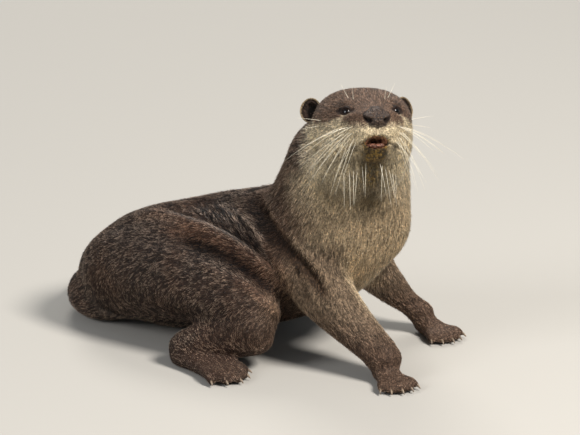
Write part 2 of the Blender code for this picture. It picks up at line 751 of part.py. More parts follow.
def make_mouth(head, target, work, frame):
    """Lower jaw parted from the head along the line of the mouth, the gape between them and the tongue."""
    line = frame @ Matrix.Translation(MOUTH_CORNER) @ Matrix.Rotation(math.radians(-MOUTH_SLOPE), 4, "Y")
    place = frame @ Matrix.Translation(JAW_SITE)
    volumes = []
    for grow, top in ((0.0, 0.0), (GAP, LIP_PARTING)):
        volume = ellipsoid("jaw_volume", place, [size + grow for size in JAW_SIZE], work)
        above = block("above", (-HEAD_SPAN, -HEAD_SPAN, top), (HEAD_SPAN, HEAD_SPAN, HEAD_SPAN), work, line)
        boolean(volume, "DIFFERENCE", above)
        remove(above)
        volumes.append(volume)
    jaw = copy_of(head, "lower_jaw", target)
    boolean(jaw, "INTERSECT", volumes[0])
    boolean(head, "DIFFERENCE", volumes[1])
    gape = ellipsoid("gape", frame @ Matrix.Translation(GAPE_SITE), GAPE_SIZE, work)
    boolean(jaw, "DIFFERENCE", gape)
    boolean(head, "DIFFERENCE", gape)
    tongue_place = frame @ Matrix.Translation(TONGUE_SITE)
    tongue = ellipsoid("tongue", tongue_place, TONGUE_SIZE, target)
    bed = ellipsoid("bed", tongue_place, [size + GAP for size in TONGUE_SIZE], work)
    boolean(jaw, "DIFFERENCE", bed)
    boolean(head, "DIFFERENCE", bed)
    philtrum = ellipsoid("philtrum", frame @ Matrix.Translation(PHILTRUM_SITE), PHILTRUM_SIZE, work)
    boolean(head, "DIFFERENCE", philtrum)
    remove(*volumes, gape, bed, philtrum)
    keep_largest(jaw)
    keep_largest(head)
    return jaw, tongue


def make_claws(paw, foot, target, work):
    """Five horn claws, each sunk in a pocket at the tip of its toe."""
    pockets = collection("pockets", shown=False)
    claws = []
    for i, (_, knuckle, tip) in enumerate(toe_lines(foot)):
        way = (tip - knuckle).to_2d().normalized()
        drop = -math.tan(math.radians(CLAW_DROOP))
        place = foot_frame(foot) @ Matrix.Translation(tip + Vector((0, 0, MM)))
        place = place @ facing((way.x, way.y, drop)) @ Matrix.Scale(MM, 4)
        for name, grow, group in ((f"{foot}_claw_{i + 1}", 0.0, target), ("pocket", GAP, pockets)):
            out = CLAW_LENGTH - CLAW_SUNK
            stations = (
                (-CLAW_SUNK - grow, 0.0, 0.0, CLAW_RADIUS * 0.85 + grow, CLAW_RADIUS + grow),
                (0.0, 0.0, 0.3, CLAW_RADIUS + grow, CLAW_RADIUS * 1.15 + grow),
                (out * 0.55, 0.0, 0.2, CLAW_RADIUS * 0.62 + grow, CLAW_RADIUS * 0.75 + grow),
                (out, 0.0, -0.8, 0.35 + grow, 0.35 + grow),
            )
            full = [(Vector(s[:3]), UP, s[3], s[4], s[4]) for s in stations]
            made = loft(name, full, group, sides=6, steps=1, place=place)
            if group is target:
                claws.append(made)
    boolean(paw, "DIFFERENCE", pockets)
    for obj in list(pockets.objects):
        remove(obj)
    bpy.data.collections.remove(pockets)
    keep_largest(paw)
    return claws


def part_chain(body, cuts, last_name, target, work):
    """Parts a body at several planes; what is left takes the last name."""
    parts = [cut_off(body, *cut, target, work) for cut in cuts]
    body.name = last_name
    return [*parts, body]


def part_skin(skin, target, work, frame):
    """The skin's named sub-parts."""
    arm_right = take_out(skin, "arm_right", LIMB_HULLS["arm_right"], target, work)
    arm_left = take_out(skin, "arm_left", LIMB_HULLS["arm_left"], target, work)
    leg_right = take_out(skin, "leg_right", LIMB_HULLS["leg_right"], target, work)
    leg_left = take_out(skin, "leg_left", LIMB_HULLS["leg_left"], target, work)
    tail = take_out(skin, "tail", LIMB_HULLS["tail"], target, work)
    part_chain(arm_right, ARM_RIGHT_CUTS, "forepaw_right", target, work)
    part_chain(arm_left, ARM_LEFT_CUTS, "forepaw_left", target, work)
    part_chain(leg_right, LEG_RIGHT_CUTS, "hindfoot_right", target, work)
    part_chain(leg_left, LEG_LEFT_CUTS, "hindfoot_left", target, work)
    part_chain(tail, TAIL_CUTS, "tail_tip", target, work)
    target.objects.link(skin)
    work.objects.unlink(skin)
    skin.display_type = "TEXTURED"
    neck_point = frame @ Vector(NECK_CUT[0])
    neck_way = frame.to_3x3() @ Vector(NECK_CUT[1])
    cuts = (*TRUNK_CUTS, ("neck", neck_point, neck_way))
    return part_chain(skin, cuts, "head", target, work)[-1]


def finish(target):
    """Gives each sub-part its material, smooth shading and the shared parent, origin under the middle."""
    own = {
        "nose": "nose_skin", "tongue": "tongue_pink", "eye": "eye_wet",
        "lower": "coat_pale", "neck": "coat_pale", "chest": "coat_brown", "head": "coat_brown",
    }
    low, high = Vector((BIG, BIG, BIG)), Vector((-BIG, -BIG, -BIG))
    root = bpy.data.objects.new("otter", None)
    for obj in target.objects:
        slot = "claw_horn" if "claw" in obj.name else own.get(obj.name.split("_")[0], "coat_dark")
        obj.data.materials.clear()
        obj.data.materials.append(material(slot))
        obj.data.shade_smooth()
        obj.data.set_sharp_from_angle(angle=math.radians(SHARP_ANGLE))
        obj.parent = root
        for vertex in obj.data.vertices:
            low = Vector(map(min, low, vertex.co))
            high = Vector(map(max, high, vertex.co))
    target.objects.link(root)
    middle = (low + high) / 2
    root.location = (-middle.x, -middle.y, -low.z)


def main():
    clear_scene()
    target = collection("otter")
    work = collection("cutters", shown=False)
    frame = head_frame()
    skin = whole_skin(work, frame)
    head = part_skin(skin, target, work, frame)
    make_mouth(head, target, work, frame)
    make_nose(head, target, work, frame)
    for side, sign in (("right", -1.0), ("left", 1.0)):
        make_eye(head, side, sign, target, work, frame)
        make_ear(head, side, sign, target, work, frame)
    for foot in FEET:
        make_claws(bpy.data.objects[foot], foot, target, work)
    finish(target)


main()
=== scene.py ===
"""Smooth-coated otter as a still museum model: skin, coat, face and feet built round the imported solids.

Metres, +Z up. The animal points along +X, so its right side, which the photograph shows, is -Y.
One skin stands for every node of flesh. The coat is solid tufts rooted in it, laid along the hair's lie.
Lengths in the head's own frame are in millimetres: x to the nose, y to the left, z to the crown.
"""

import math
from functools import partial

import bmesh
import bpy
import numpy as np
from mathutils import Matrix, Vector
from mathutils.bvhtree import BVHTree
from mathutils.kdtree import KDTree


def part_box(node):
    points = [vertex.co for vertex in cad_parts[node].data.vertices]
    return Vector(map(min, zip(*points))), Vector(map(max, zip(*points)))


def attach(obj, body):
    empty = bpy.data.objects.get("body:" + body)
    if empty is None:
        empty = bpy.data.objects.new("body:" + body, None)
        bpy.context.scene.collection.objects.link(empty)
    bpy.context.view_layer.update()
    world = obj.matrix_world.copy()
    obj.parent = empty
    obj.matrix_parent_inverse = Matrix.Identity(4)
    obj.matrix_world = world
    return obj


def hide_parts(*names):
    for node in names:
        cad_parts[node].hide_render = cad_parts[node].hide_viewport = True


MM = 0.001
SEED = 20268

# The photograph: its size, the length of one pixel on the animal, and the camera's direction
PHOTO_SIZE = (580, 435)
PIXEL = 1.1 * MM
AZIMUTH = 22.0
ELEVATION = 18.0
FLOOR_PIXEL = (360.0, 345.0)  # where the design's own origin on the floor falls in the photograph
CAMERA_DISTANCE = 6.0

# The head as the solids place it
HEAD_DESIGN = (0.0212, -0.0506, 0.2650)
HEAD_HEADING = -56.5
HEAD_PITCH = 26.0
HEAD_ROLL = -2.6
EYE_SITE = (48.4, 24.8, 10.3)
EYE_GAZE = (0.79, 0.54, 0.14)
EYE_RADIUS = 6.6
EYE_SLANT = 8.0
NECK_PLANE = np.array(((-16.0, 0.0, -42.0), (0.60, 0.0, 0.80)))  # a point of it and the way to the head
GAPE_SITE = np.array((78.0, 0.0, -26.5))  # the open front of the mouth
GAPE_REACH = np.array((22.0, 12.5, 6.4))
NOSE_SITE = np.array((78.5, 0.0, 1.0))
NOSE_REACH = np.array((11.5, 14.9, 12.0))
SIDES = ((-1.0, "right"), (1.0, "left"))

# Skin
SKIN_VOXEL = 2.0 * MM
TRUNK_TRIANGLES = 96000  # what the trunk keeps of its share of the skin
BODY_ROUNDS = 16  # rounds of smoothing that take the facets of the solids away
FACE_ROUNDS = 7
COLLAR_ROUNDS = 170  # rounds that fill the crease under the jaw
COLLAR_REACH = 26.0  # mm along the neck
COAT_DEPTH = 1.6  # mm by which the skin lies inside the solids on the trunk
FACE_COAT_DEPTH = 0.7
FOOT_COAT_DEPTH = 0.4
FOOT_MARGIN = 0.008  # m round the solids of the feet within which the skin keeps their detail
FEET = ("forepaw_left", "forepaw_right", "hindfoot_left", "hindfoot_right")
FAR_FOLDS = 0.4  # depth of the far flank's folds beside the near one's
WRINKLE_DEPTH = 1.2  # share of the wrinkles' drawn height that the skin takes

# Lids, mm
LID_OUT = 1.0  # how far the lids stand over the eyeball
OPENING = (6.2, 3.5)  # half width and half height of the opening between the lids
LID_REACH = 2.6  # size of the moulded ring round the eye, in openings
EYE_REACH = 22.0  # how far from an eye's middle the face can belong to it

# Mouth line in the head frame: its back corner and its rise to the front
MOUTH_CORNER = (46.0, -30.5)
MOUTH_SLOPE = 7.0
BROW_WRINKLES = (18.5, 21.5, 24.5)  # their heights in the head frame, mm

# Folds of the near flank, drawn in the photograph's pixels: points, half width and height in mm
FOLDS = (
    # crest of the flank, from the rump to the ribs, and the furrow over it
    (((118, 226), (131, 219), (153, 215), (176, 218), (201, 226), (219, 233), (236, 241),
      (252, 251), (266, 263), (282, 285), (292, 312)), 5.0, 4.2),
    (((160, 208), (180, 211), (197, 216), (215, 224), (234, 234), (251, 245), (266, 257),
      (278, 272)), 5.0, -4.4),
    # dark hollow over the ribs
    (((178, 200), (200, 207), (222, 217), (242, 230), (258, 246)), 10.0, -2.2),
    (((166, 196), (190, 198), (214, 202), (238, 212)), 9.0, -1.2),
    (((213, 205), (222, 217), (231, 231)), 3.0, -1.6),
    # soft ridge behind the shoulder, the deep fold before it and the rounded edge of the shoulder
    (((240, 205), (248, 219), (258, 234), (271, 252), (284, 270), (292, 288)), 5.0, 3.4),
    (((250, 192), (256, 203), (264, 217), (274, 230), (287, 245), (299, 258), (310, 271),
      (321, 287), (331, 306)), 7.0, -7.0),
    (((268, 184), (268, 200), (276, 216), (290, 239), (300, 250), (312, 262), (326, 280),
      (338, 300)), 4.5, 2.4),
    (((294, 264), (300, 277), (306, 291), (312, 306)), 3.0, -2.2),
    # front of the thigh, and the hollow between it and the flank
    (((196, 262), (206, 266), (219, 273), (242, 282), (259, 295), (274, 309), (283, 318)), 5.0, 4.0),
    (((178, 238), (193, 243), (217, 252), (242, 265), (264, 283), (279, 301)), 7.0, -4.0),
)
# Fine wrinkles over the ribs, drawn in the same way
WRINKLES = (
    (((170, 207), (186, 211), (199, 217), (211, 225), (219, 231)), 1.6, 1.0),
    (((182, 201), (190, 210), (200, 219), (212, 228)), 1.6, 1.1),
    (((191, 201), (199, 211), (208, 220), (218, 230)), 1.6, 0.8),
    (((201, 203), (210, 211), (216, 220), (222, 230), (227, 236)), 1.7, 1.3),
    (((210, 203), (219, 214), (228, 223), (235, 233), (240, 241)), 1.6, 1.0),
    (((218, 202), (229, 214), (237, 224), (244, 234), (251, 244)), 1.7, 1.2),
    (((225, 201), (235, 216), (243, 229), (250, 239)), 1.6, 0.8),
)
# Zone where the hair is combed along the wrinkles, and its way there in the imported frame
COMBED = ((((180, 196), (206, 206), (230, 221), (252, 242), (268, 262)), 17.0, 1.5),)
COMBED_WAY = (-0.70, -0.03, 0.71)
RELIEF = 6.4  # mm of fold for a whole step from shade to light
# Bands of redder hair under the crest of the flank and along the back, drawn in the same way
RUST_BANDS = (
    (((150, 226), (190, 231), (222, 243), (248, 259), (266, 277), (282, 302)), 9.0, 1.0),
    (((130, 207), (160, 202), (190, 200), (222, 204)), 7.0, 0.8),
)

# Swellings of the skin: centre in metres, or in the head frame for the jaw's, and reach and height in mm
SWELLINGS = (
    ((0.158, -0.012, 0.128), 30.0, 8.0),
    ((0.162, -0.030, 0.165), 24.0, 3.0),
    ((0.163, -0.070, 0.182), 14.0, 3.5),
    ((0.171, -0.050, 0.185), 14.0, 3.0),
)
JAW_SWELLING = ((-6.0, 50.0, -40.0), 15.0, 3.0)

# Colours as sRGB hex: hair at its root, middle and tip, then the rest
FUR = ("#2a201b", "#43352d", "#cbb39c")
RUST = ("#1e110b", "#5c3c2a", "#b08767")
CROWN = ("#2f241d", "#745a48", "#b79d88")
BUFF = ("#87745c", "#d3bb98", "#fbecd0")
PALE = ("#94846a", "#e2d0ad", "#fff7e6")
STAIN = "#80611f"
STAIN_DARK = "#1d140a"
# Dark yellow-green of the throat's stain, darkened by painted shade under the chin
SHADED_OLIVE = "#47370d"
LIP_DARK = "#221915"
NOSE_SKIN = "#342923"
GUM_PINK = "#8f665c"
FLESH_RED = "#b58263"

rng = np.random.default_rng(SEED)


def linear(hex_colour):
    """An sRGB hex value as linear RGBA."""
    values = []
    for i in (1, 3, 5):
        value = int(hex_colour[i : i + 2], 16) / 255.0
        values.append(value / 12.92 if value <= 0.04045 else ((value + 0.055) / 1.055) ** 2.4)
    return (*values, 1.0)


def unit(vectors):
    """Rows of an array scaled to length 1."""
    return vectors / np.maximum(np.linalg.norm(vectors, axis=-1, keepdims=True), 1e-12)


def ease(low, high, values):
    """0 up to low, 1 from high on and a smooth rise between, or a fall where low is the higher."""
    share = np.clip((values - low) / (high - low), 0.0, 1.0)
    return share * share * (3.0 - 2.0 * share)


def hump(*terms):
    """1 where every term is 0, fading as they pass 1."""
    return np.exp(-sum(term**2 for term in terms))


def egg(local, site, reach):
    """Squared distance from the middle of an egg-shaped place, 1 on its surface."""
    return (((local - site) / reach) ** 2).sum(axis=1)


def turn_of_head():
    return (
        Matrix.Rotation(math.radians(HEAD_HEADING), 3, "Z")
        @ Matrix.Rotation(math.radians(-HEAD_PITCH), 3, "Y")
        @ Matrix.Rotation(math.radians(HEAD_ROLL), 3, "X")
    )


def centre_of(node):
    low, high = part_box(node)
    return (low + high) / 2


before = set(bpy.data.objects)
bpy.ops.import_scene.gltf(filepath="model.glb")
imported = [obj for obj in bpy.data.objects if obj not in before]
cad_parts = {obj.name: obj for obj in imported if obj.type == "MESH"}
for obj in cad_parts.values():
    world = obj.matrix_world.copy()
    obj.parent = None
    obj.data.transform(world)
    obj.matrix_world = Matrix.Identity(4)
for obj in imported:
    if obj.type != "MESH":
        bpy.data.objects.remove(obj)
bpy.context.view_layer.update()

HEAD_TURN = turn_of_head()
EYES_MIDDLE = (centre_of("eye_left") + centre_of("eye_right")) / 2
HEAD_AT = EYES_MIDDLE - HEAD_TURN @ (Vector((EYE_SITE[0], 0.0, EYE_SITE[2])) * MM)
SHIFT = np.array(HEAD_AT - Vector(HEAD_DESIGN))  # from the design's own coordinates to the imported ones
TURN = np.array(HEAD_TURN)
TO_CAMERA = Vector(
    (
        math.sin(math.radians(AZIMUTH)) * math.cos(math.radians(ELEVATION)),
        -math.cos(math.radians(AZIMUTH)) * math.cos(math.radians(ELEVATION)),
        math.sin(math.radians(ELEVATION)),
    )
)


def to_head(points):
    """Packed metres to millimetres in the head's frame."""
    return (points - np.array(HEAD_AT)) @ TURN / MM


def from_head(points):
    return np.asarray(points, float) @ TURN.T * MM + np.array(HEAD_AT)


def ahead_of_neck(local):
    """How far points in the head's frame lie before the plane where it meets the neck."""
    return (local - NECK_PLANE[0]) @ NECK_PLANE[1]


def head_share(points):
    """1 on the head, falling to 0 behind the plane where it meets the neck."""
    return ease(-14.0, 6.0, ahead_of_neck(to_head(points)))


def in_photo(points):
    """Where points fall in the photograph, in its pixels."""
    design = points - SHIFT
    a, e = math.radians(AZIMUTH), math.radians(ELEVATION)
    across = design[:, 0] * math.cos(a) + design[:, 1] * math.sin(a)
    deep = -design[:, 0] * math.sin(a) + design[:, 1] * math.cos(a)
    rise = design[:, 2] * math.cos(e) + deep * math.sin(e)
    return np.stack((FLOOR_PIXEL[0] + across / PIXEL, FLOOR_PIXEL[1] - rise / PIXEL), axis=1)


def curve_points(points, steps=6):
    """A Catmull-Rom curve through points, with a number of steps between each two."""
    points = np.asarray(points, float)
    out = []
    last = len(points) - 1
    for i in range(last):
        before, here, there, after = points[max(i - 1, 0)], points[i], points[i + 1], points[min(i + 2, last)]
        for k in range(steps):
            t = k / steps
            out.append(
                here
                + (there - before) * (0.5 * t)
                + (before * 2 - here * 5 + there * 4 - after) * (0.5 * t * t)
                + (here * 3 - before - there * 3 + after) * (0.5 * t**3)
            )
    out.append(points[-1])
    return np.array(out)


def near_line(points, line):
    """Distance of each point from a line, and how far along the line its nearest place is, 0 to 1."""
    best = np.full(len(points), 1e9)
    along = np.zeros(len(points))
    count = len(line) - 1
    for i in range(count):
        way = line[i + 1] - line[i]
        share = np.clip(((points - line[i]) @ way) / (way @ way), 0.0, 1.0)
        away = np.linalg.norm(points - line[i] - share[:, None] * way, axis=1)
        closer = away < best
        best[closer] = away[closer]
        along[closer] = (i + share[closer]) / count
    return best, along


def new_object(name, mesh):
    made = bpy.data.objects.new(name, mesh)
    bpy.context.scene.collection.objects.link(made)
    return made


def apply_modifiers(obj):
    """Keeps the evaluated mesh as the object's own."""
    graph = bpy.context.evaluated_depsgraph_get()
    graph.update()
    mesh = bpy.data.meshes.new_from_object(obj.evaluated_get(graph))
    old = obj.data
    obj.modifiers.clear()
    obj.data = mesh
    bpy.data.meshes.remove(old)


def rows_of(values, name):
    """A property with three numbers of each of a mesh's vertices, as rows."""
    rows = np.empty(len(values) * 3, np.float32)
    values.foreach_get(name, rows)
    return rows.reshape(-1, 3).astype(float)


def points_of(mesh):
    return rows_of(mesh.vertices, "co")


def normals_of(mesh):
    return rows_of(mesh.vertex_normals, "vector")


def set_points(mesh, points):
    mesh.vertices.foreach_set("co", points.astype(np.float32).ravel())
    mesh.update()


def moved_out(mesh, height):
    """The mesh's points, moved along their normals by a height in mm."""
    return points_of(mesh) + normals_of(mesh) * height[:, None] * MM


def triangles_of(mesh):
    """Vertices of each of a mesh's triangles, and its area in square mm."""
    mesh.calc_loop_triangles()
    triangles = np.empty(len(mesh.loop_triangles) * 3, np.int32)
    mesh.loop_triangles.foreach_get("vertices", triangles)
    triangles = triangles.reshape(-1, 3)
    points = points_of(mesh)
    a, b, c = (points[triangles[:, i]] for i in range(3))
    return triangles, np.linalg.norm(np.cross(b - a, c - a), axis=1) / 2 / MM**2


def triangulate(mesh):
    bm = bmesh.new()
    bm.from_mesh(mesh)
    bmesh.ops.triangulate(bm, faces=bm.faces)
    bm.to_mesh(mesh)
    bm.free()


def joined_copy(name, nodes, weld):
    """One object from copies of nodes, whose points closer than a distance in mm are welded."""
    bm = bmesh.new()
    for node in nodes:
        bm.from_mesh(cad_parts[node].data)
    bmesh.ops.remove_doubles(bm, verts=bm.verts, dist=weld * MM)
    mesh = bpy.data.meshes.new(name)
    bm.to_mesh(mesh)
    bm.free()
    return new_object(name, mesh)


def surface_of(obj):
    """Search tree of an object's faces."""
    return BVHTree.FromObject(obj, bpy.context.evaluated_depsgraph_get())


def smooth_shaded(obj):
    obj.data.polygons.foreach_set("use_smooth", np.ones(len(obj.data.polygons), bool))


def foot_share(points):
    """1 on the feet, 0 away from them."""
    share = np.zeros(len(points))
    for name in FEET:
        low, high = (np.array(corner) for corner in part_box(name))
        away = np.maximum(np.maximum(low - points, points - high), 0.0).max(axis=1)
        share = np.maximum(share, 1.0 - ease(0.0, FOOT_MARGIN, away))
    return share


# Skin

FLESH = [
    name
    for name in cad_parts
    if not name.startswith(("eye", "nose", "tongue", "ear")) and "claw" not in name
]


def fused_skin():
    """Copies of the nodes of flesh, with the eyes and nose to close their pockets, fused on one fine grid."""
    skin = joined_copy("skin", [*FLESH, "eye_left", "eye_right", "nose"], 0.01)
    fuse = skin.modifiers.new("fuse", "REMESH")
    fuse.mode = "VOXEL"
    fuse.voxel_size = SKIN_VOXEL
    apply_modifiers(skin)
    return skin


def soften(skin, shares, rounds):
    """Rounds of smoothing, weighted vertex by vertex."""
    group = skin.vertex_groups.new(name="soft")
    levels = np.round(shares * 10).astype(int)
    for level in range(1, 11):
        found = np.nonzero(levels == level)[0]
        if len(found):
            group.add(found.tolist(), level / 10, "REPLACE")
    smooth = skin.modifiers.new("soften", "SMOOTH")
    smooth.factor = 0.5
    smooth.iterations = rounds
    smooth.vertex_group = group.name
    apply_modifiers(skin)
    skin.vertex_groups.clear()


def refine(skin, chosen):
    """Splits the faces whose vertices are all chosen into four."""
    bm = bmesh.new()
    bm.from_mesh(skin.data)
    marked = set(np.nonzero(chosen)[0].tolist())
    edges = [edge for edge in bm.edges if all(vertex.index in marked for vertex in edge.verts)]
    bmesh.ops.subdivide_edges(bm, edges=edges, cuts=1, use_grid_fill=True)
    bm.to_mesh(skin.data)
    bm.free()


def settle_coat_depth(skin):
    """Moves the skin in by the depth of the coat that stands over it."""
    points = points_of(skin.data)
    head = head_share(points)
    feet = foot_share(points)
    depth = COAT_DEPTH * (1.0 - head) + FACE_COAT_DEPTH * head
    points = moved_out(skin.data, -(depth * (1.0 - feet) + FOOT_COAT_DEPTH * feet))
    points[:, 2] = np.maximum(points[:, 2], 0.0)
    set_points(skin.data, points)


def fold_height(points, lines=FOLDS, normals=None):
    """Height in mm of the folds of the near flank, and of their mirror image on the far one."""
    total = np.zeros(len(points))
    head = head_share(points)
    for side, share in ((1.0, 1.0), (-1.0, FAR_FOLDS)):
        mirror = np.array((1.0, side, 1.0))
        where = (points - SHIFT) * mirror + SHIFT
        shown = share * (1.0 - head) * ease(0.006, 0.020, SHIFT[1] - where[:, 1])
        if normals is not None:
            shown *= ease(-0.05, 0.30, (normals * mirror) @ np.array(TO_CAMERA))
        pixels = in_photo(where)
        for line, half_width, height in lines:
            reach = 2.5 * half_width * MM / PIXEL
            low, high = np.min(line, axis=0) - reach, np.max(line, axis=0) + reach
            near = np.nonzero((shown > 0.0) & (pixels > low).all(axis=1) & (pixels < high).all(axis=1))[0]
            away, along = near_line(pixels[near], curve_points(line, 4))
            taper = ease(0.0, 0.22, along) * ease(0.0, 0.22, 1.0 - along)
            total[near] += hump(away * PIXEL / MM / half_width) * taper * shown[near] * height
    return total


def fold_share(points, lines):
    """The same for lines that stand for a share, from 0 to 1."""
    return np.clip(fold_height(points, lines), 0.0, 1.0)


def fold_flanks(skin):
    """Presses the folds of the photograph into the flanks."""
    points = points_of(skin.data)
    normals = normals_of(skin.data)
    height = fold_height(points, FOLDS, normals) + WRINKLE_DEPTH * fold_height(points, WRINKLES, normals)
    set_points(skin.data, moved_out(skin.data, height))


def swell(skin):
    """Fills out the far side of the breast and of the jaw, whose outline runs straight."""
    points = points_of(skin.data)
    moved = np.zeros(len(points))
    for centre, reach, height in (*SWELLINGS, (from_head(JAW_SWELLING[0]), *JAW_SWELLING[1:])):
        moved += height * hump(np.linalg.norm(points - np.array(centre), axis=1) / MM / reach)
    set_points(skin.data, moved_out(skin.data, moved))


def axes_at(site, facing, sign):
    """Middle of an eye or ear, and the way it faces, its outer and its upper way, all in the head frame."""
    mirror = (1.0, sign, 1.0)
    facing = unit(np.multiply(facing, mirror))
    outer = unit(np.cross(facing, (0.0, 0.0, 1.0)) * -sign)
    upper = unit(np.cross(outer, facing) * -sign)
    return np.multiply(site, mirror), facing, outer, upper


def eye_axes(sign):
    """The same for one eye, with its opening's slant."""
    centre, gaze, outer, upper = axes_at(EYE_SITE, EYE_GAZE, sign)
    along, rise = math.cos(math.radians(EYE_SLANT)), math.sin(math.radians(EYE_SLANT))
    return centre, gaze, outer * along + upper * rise, upper * along - outer * rise


def opening_size(across, rise):
    """Distance from the middle of the eye's opening in openings: 1 on the rim of the lids."""
    half_width, half_height = OPENING
    pinch = 1.0 - 0.35 * np.minimum((across / half_width) ** 2, 1.0)
    lifted = (rise - 0.3) / np.where(rise > 0.3, 0.92, 1.0)
    return np.sqrt((across / half_width) ** 2 + (lifted / half_height / pinch) ** 2)


def mould_lids(skin):
    """Lids: a ring that follows the eyeball, sunk behind it inside the opening."""
    local = to_head(points_of(skin.data))
    for sign, _ in SIDES:
        centre, gaze, outer, upper = eye_axes(sign)
        offset = local - centre
        rise = offset @ upper
        away = np.linalg.norm(offset, axis=1)
        size = opening_size(offset @ outer, rise)
        front = (offset @ gaze > 0.0) & (away < EYE_REACH)
        ring = (1.0 - ease(1.15, LID_REACH, size)) * front
        crease = 0.35 * hump((size - 1.75) / 0.22) * (rise > 0.0) * front
        target = EYE_RADIUS + LID_OUT + 0.4 * hump((size - 1.25) / 0.25)
        radius = away + (target - away) * ring - crease
        sunk = (1.0 - ease(0.90, 1.06, size)) * front
        radius = radius * (1.0 - sunk) + (EYE_RADIUS - 1.6) * sunk
        local = centre + offset * (radius / np.maximum(away, 1e-6))[:, None]
    set_points(skin.data, from_head(local))


def mouth_height(forward):
    return MOUTH_CORNER[1] + (forward - MOUTH_CORNER[0]) * math.tan(math.radians(MOUTH_SLOPE))


def mould_face(skin):
    """Line of the mouth, groove under the nose, hollow before the eye, wrinkled brow and uneven lips."""
    local = to_head(points_of(skin.data))
    x, y, z = local[:, 0], np.abs(local[:, 1]), local[:, 2]
    moved = np.zeros(len(local))
    span = ease(42.0, 50.0, x) * (1.0 - ease(80.0, 84.0, x))
    moved -= 1.7 * span * hump((z - mouth_height(x)) / 1.1)
    moved += 0.7 * span * hump((z - mouth_height(x) - 3.4) / 1.9)
    groove = ease(70.0, 76.0, x) * ease(-21.0, -17.0, z) * (1.0 - ease(-9.0, -6.0, z))
    moved -= 1.2 * groove * hump(y / 1.3)
    moved -= 1.2 * (hump((x - 60.0) / 7.0, (z - 7.0) / 4.0) * ease(10.0, 16.0, y))
    moved += 1.4 * hump((x - 40.0) / 9.0, (z - 23.0) / 5.0, (y - 24.0) / 9.0)
    for height in BROW_WRINKLES:
        arc = z - height + ((y - 25.0) / 9.0) ** 2 * 2.2
        moved -= 0.35 * hump(arc / 0.7) * hump((y - 25.0) / 8.0) * ease(30.0, 38.0, x)
    lips = np.exp(-((egg(local, GAPE_SITE, GAPE_REACH * 1.12) - 1.0) ** 2) / 0.10)
    uneven = np.sin(local[:, 1] * 1.15 + 0.6), np.sin(x * 0.9 + z * 1.4)
    moved += 0.8 * lips * uneven[0] * uneven[1]
    pad = (y / NOSE_REACH[1]) ** 2 + ((z - NOSE_SITE[2]) / NOSE_REACH[2]) ** 2
    moved -= 2.4 * (1.0 - ease(0.55, 0.95, np.where(x > 64.0, pad, 9.0)))
    set_points(skin.data, moved_out(skin.data, moved))


def collar_share(points):
    """1 where the throat and nape pass into the head, fading along the neck."""
    local = to_head(points)
    share = hump((ahead_of_neck(local) + 8.0) / COLLAR_REACH) * ease(20.0, -6.0, local[:, 2])
    return share * (0.25 + 0.75 * ease(60.0, 46.0, np.abs(local[:, 1])))


def make_skin():
    skin = fused_skin()
    soften(skin, collar_share(points_of(skin.data)), COLLAR_ROUNDS)
    points = points_of(skin.data)
    head = head_share(points)
    feet = foot_share(points) * (1.0 - head)
    calm = np.clip(head + feet, 0.0, 1.0)
    soften(skin, 1.0 - calm, BODY_ROUNDS)
    soften(skin, calm, FACE_ROUNDS)
    settle_coat_depth(skin)
    swell(skin)
    fold_flanks(skin)
    smooth_shaded(skin)
    return skin


def thin_trunk(skin):
    """Collapses the trunk's part of the skin, so that the head and feet can be fine."""
    triangulate(skin.data)
    points = points_of(skin.data)
    trunk = 1.0 - np.clip(head_share(points) + foot_share(points), 0.0, 1.0)
    found = np.nonzero(trunk > 0.6)[0]
    skin.vertex_groups.new(name="trunk").add(found.tolist(), 1.0, "REPLACE")
    share = len(found) / len(points)
    thin = skin.modifiers.new("thin", "DECIMATE")
    thin.ratio = 1.0 - share + TRUNK_TRIANGLES / len(skin.data.polygons)
    thin.vertex_group = "trunk"
    apply_modifiers(skin)
    skin.vertex_groups.clear()


def near_eyes(local, reach):
    """Whether each point lies within a reach of an eye's middle."""
    return np.any([np.linalg.norm(local - eye_axes(sign)[0], axis=1) < reach for sign, _ in SIDES], axis=0)


def detail_head(skin):
    """Refines the face and moulds the lids and the mouth in it."""
    local = to_head(points_of(skin.data))
    refine(skin, near_eyes(local, 17.0) | (local[:, 0] > 38.0) & (np.abs(local[:, 2] + 14.0) < 30.0))
    refine(skin, near_eyes(to_head(points_of(skin.data)), 14.0))
    mould_face(skin)
    mould_lids(skin)


# Lie of the hair and its length, by region

# Way the hair runs on each part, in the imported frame; a limb's hair runs to the part named instead
LIE = {
    "neck": (-0.42, 0.12, -0.90),
    "chest": (-0.62, 0.05, -0.78),
    "belly": (-0.90, 0.0, -0.42),
    "hips": (-0.92, 0.0, -0.38),
    "thigh": (-0.90, 0.0, -0.42),
    "upper_arm": (-0.30, 0.0, -0.95),
    "tail_tip": (0.80, 0.55, -0.05),
    "head": (-1.0, 0.0, 0.0),
    "lower_jaw": (-1.0, 0.0, 0.0),
}
LIE_TO = {
    "forearm": "forepaw",
    "shank": "hindfoot",
    "tail_base": "tail_middle",
    "tail_middle": "tail_tip",
}

# Length and width of a tuft in mm, and tufts to the square mm
HAIR = {
    "head": (4.4, 0.58, 1.25),
    "lower_jaw": (6.5, 0.58, 1.15),
    "neck": (8.0, 0.62, 0.95),
    "chest": (8.0, 0.66, 0.90),
    "belly": (5.8, 0.72, 0.80),
    "hips": (5.5, 0.72, 0.80),
    "thigh": (5.5, 0.72, 0.80),
    "shank": (4.8, 0.68, 0.80),
    "upper_arm": (6.0, 0.68, 0.85),
    "forearm": (4.8, 0.66, 0.85),
    "forepaw": (2.8, 0.56, 1.0),
    "hindfoot": (2.8, 0.56, 0.9),
    "tail_base": (5.5, 0.74, 0.70),
    "tail_middle": (5.0, 0.74, 0.70),
    "tail_tip": (4.5, 0.70, 0.75),
}
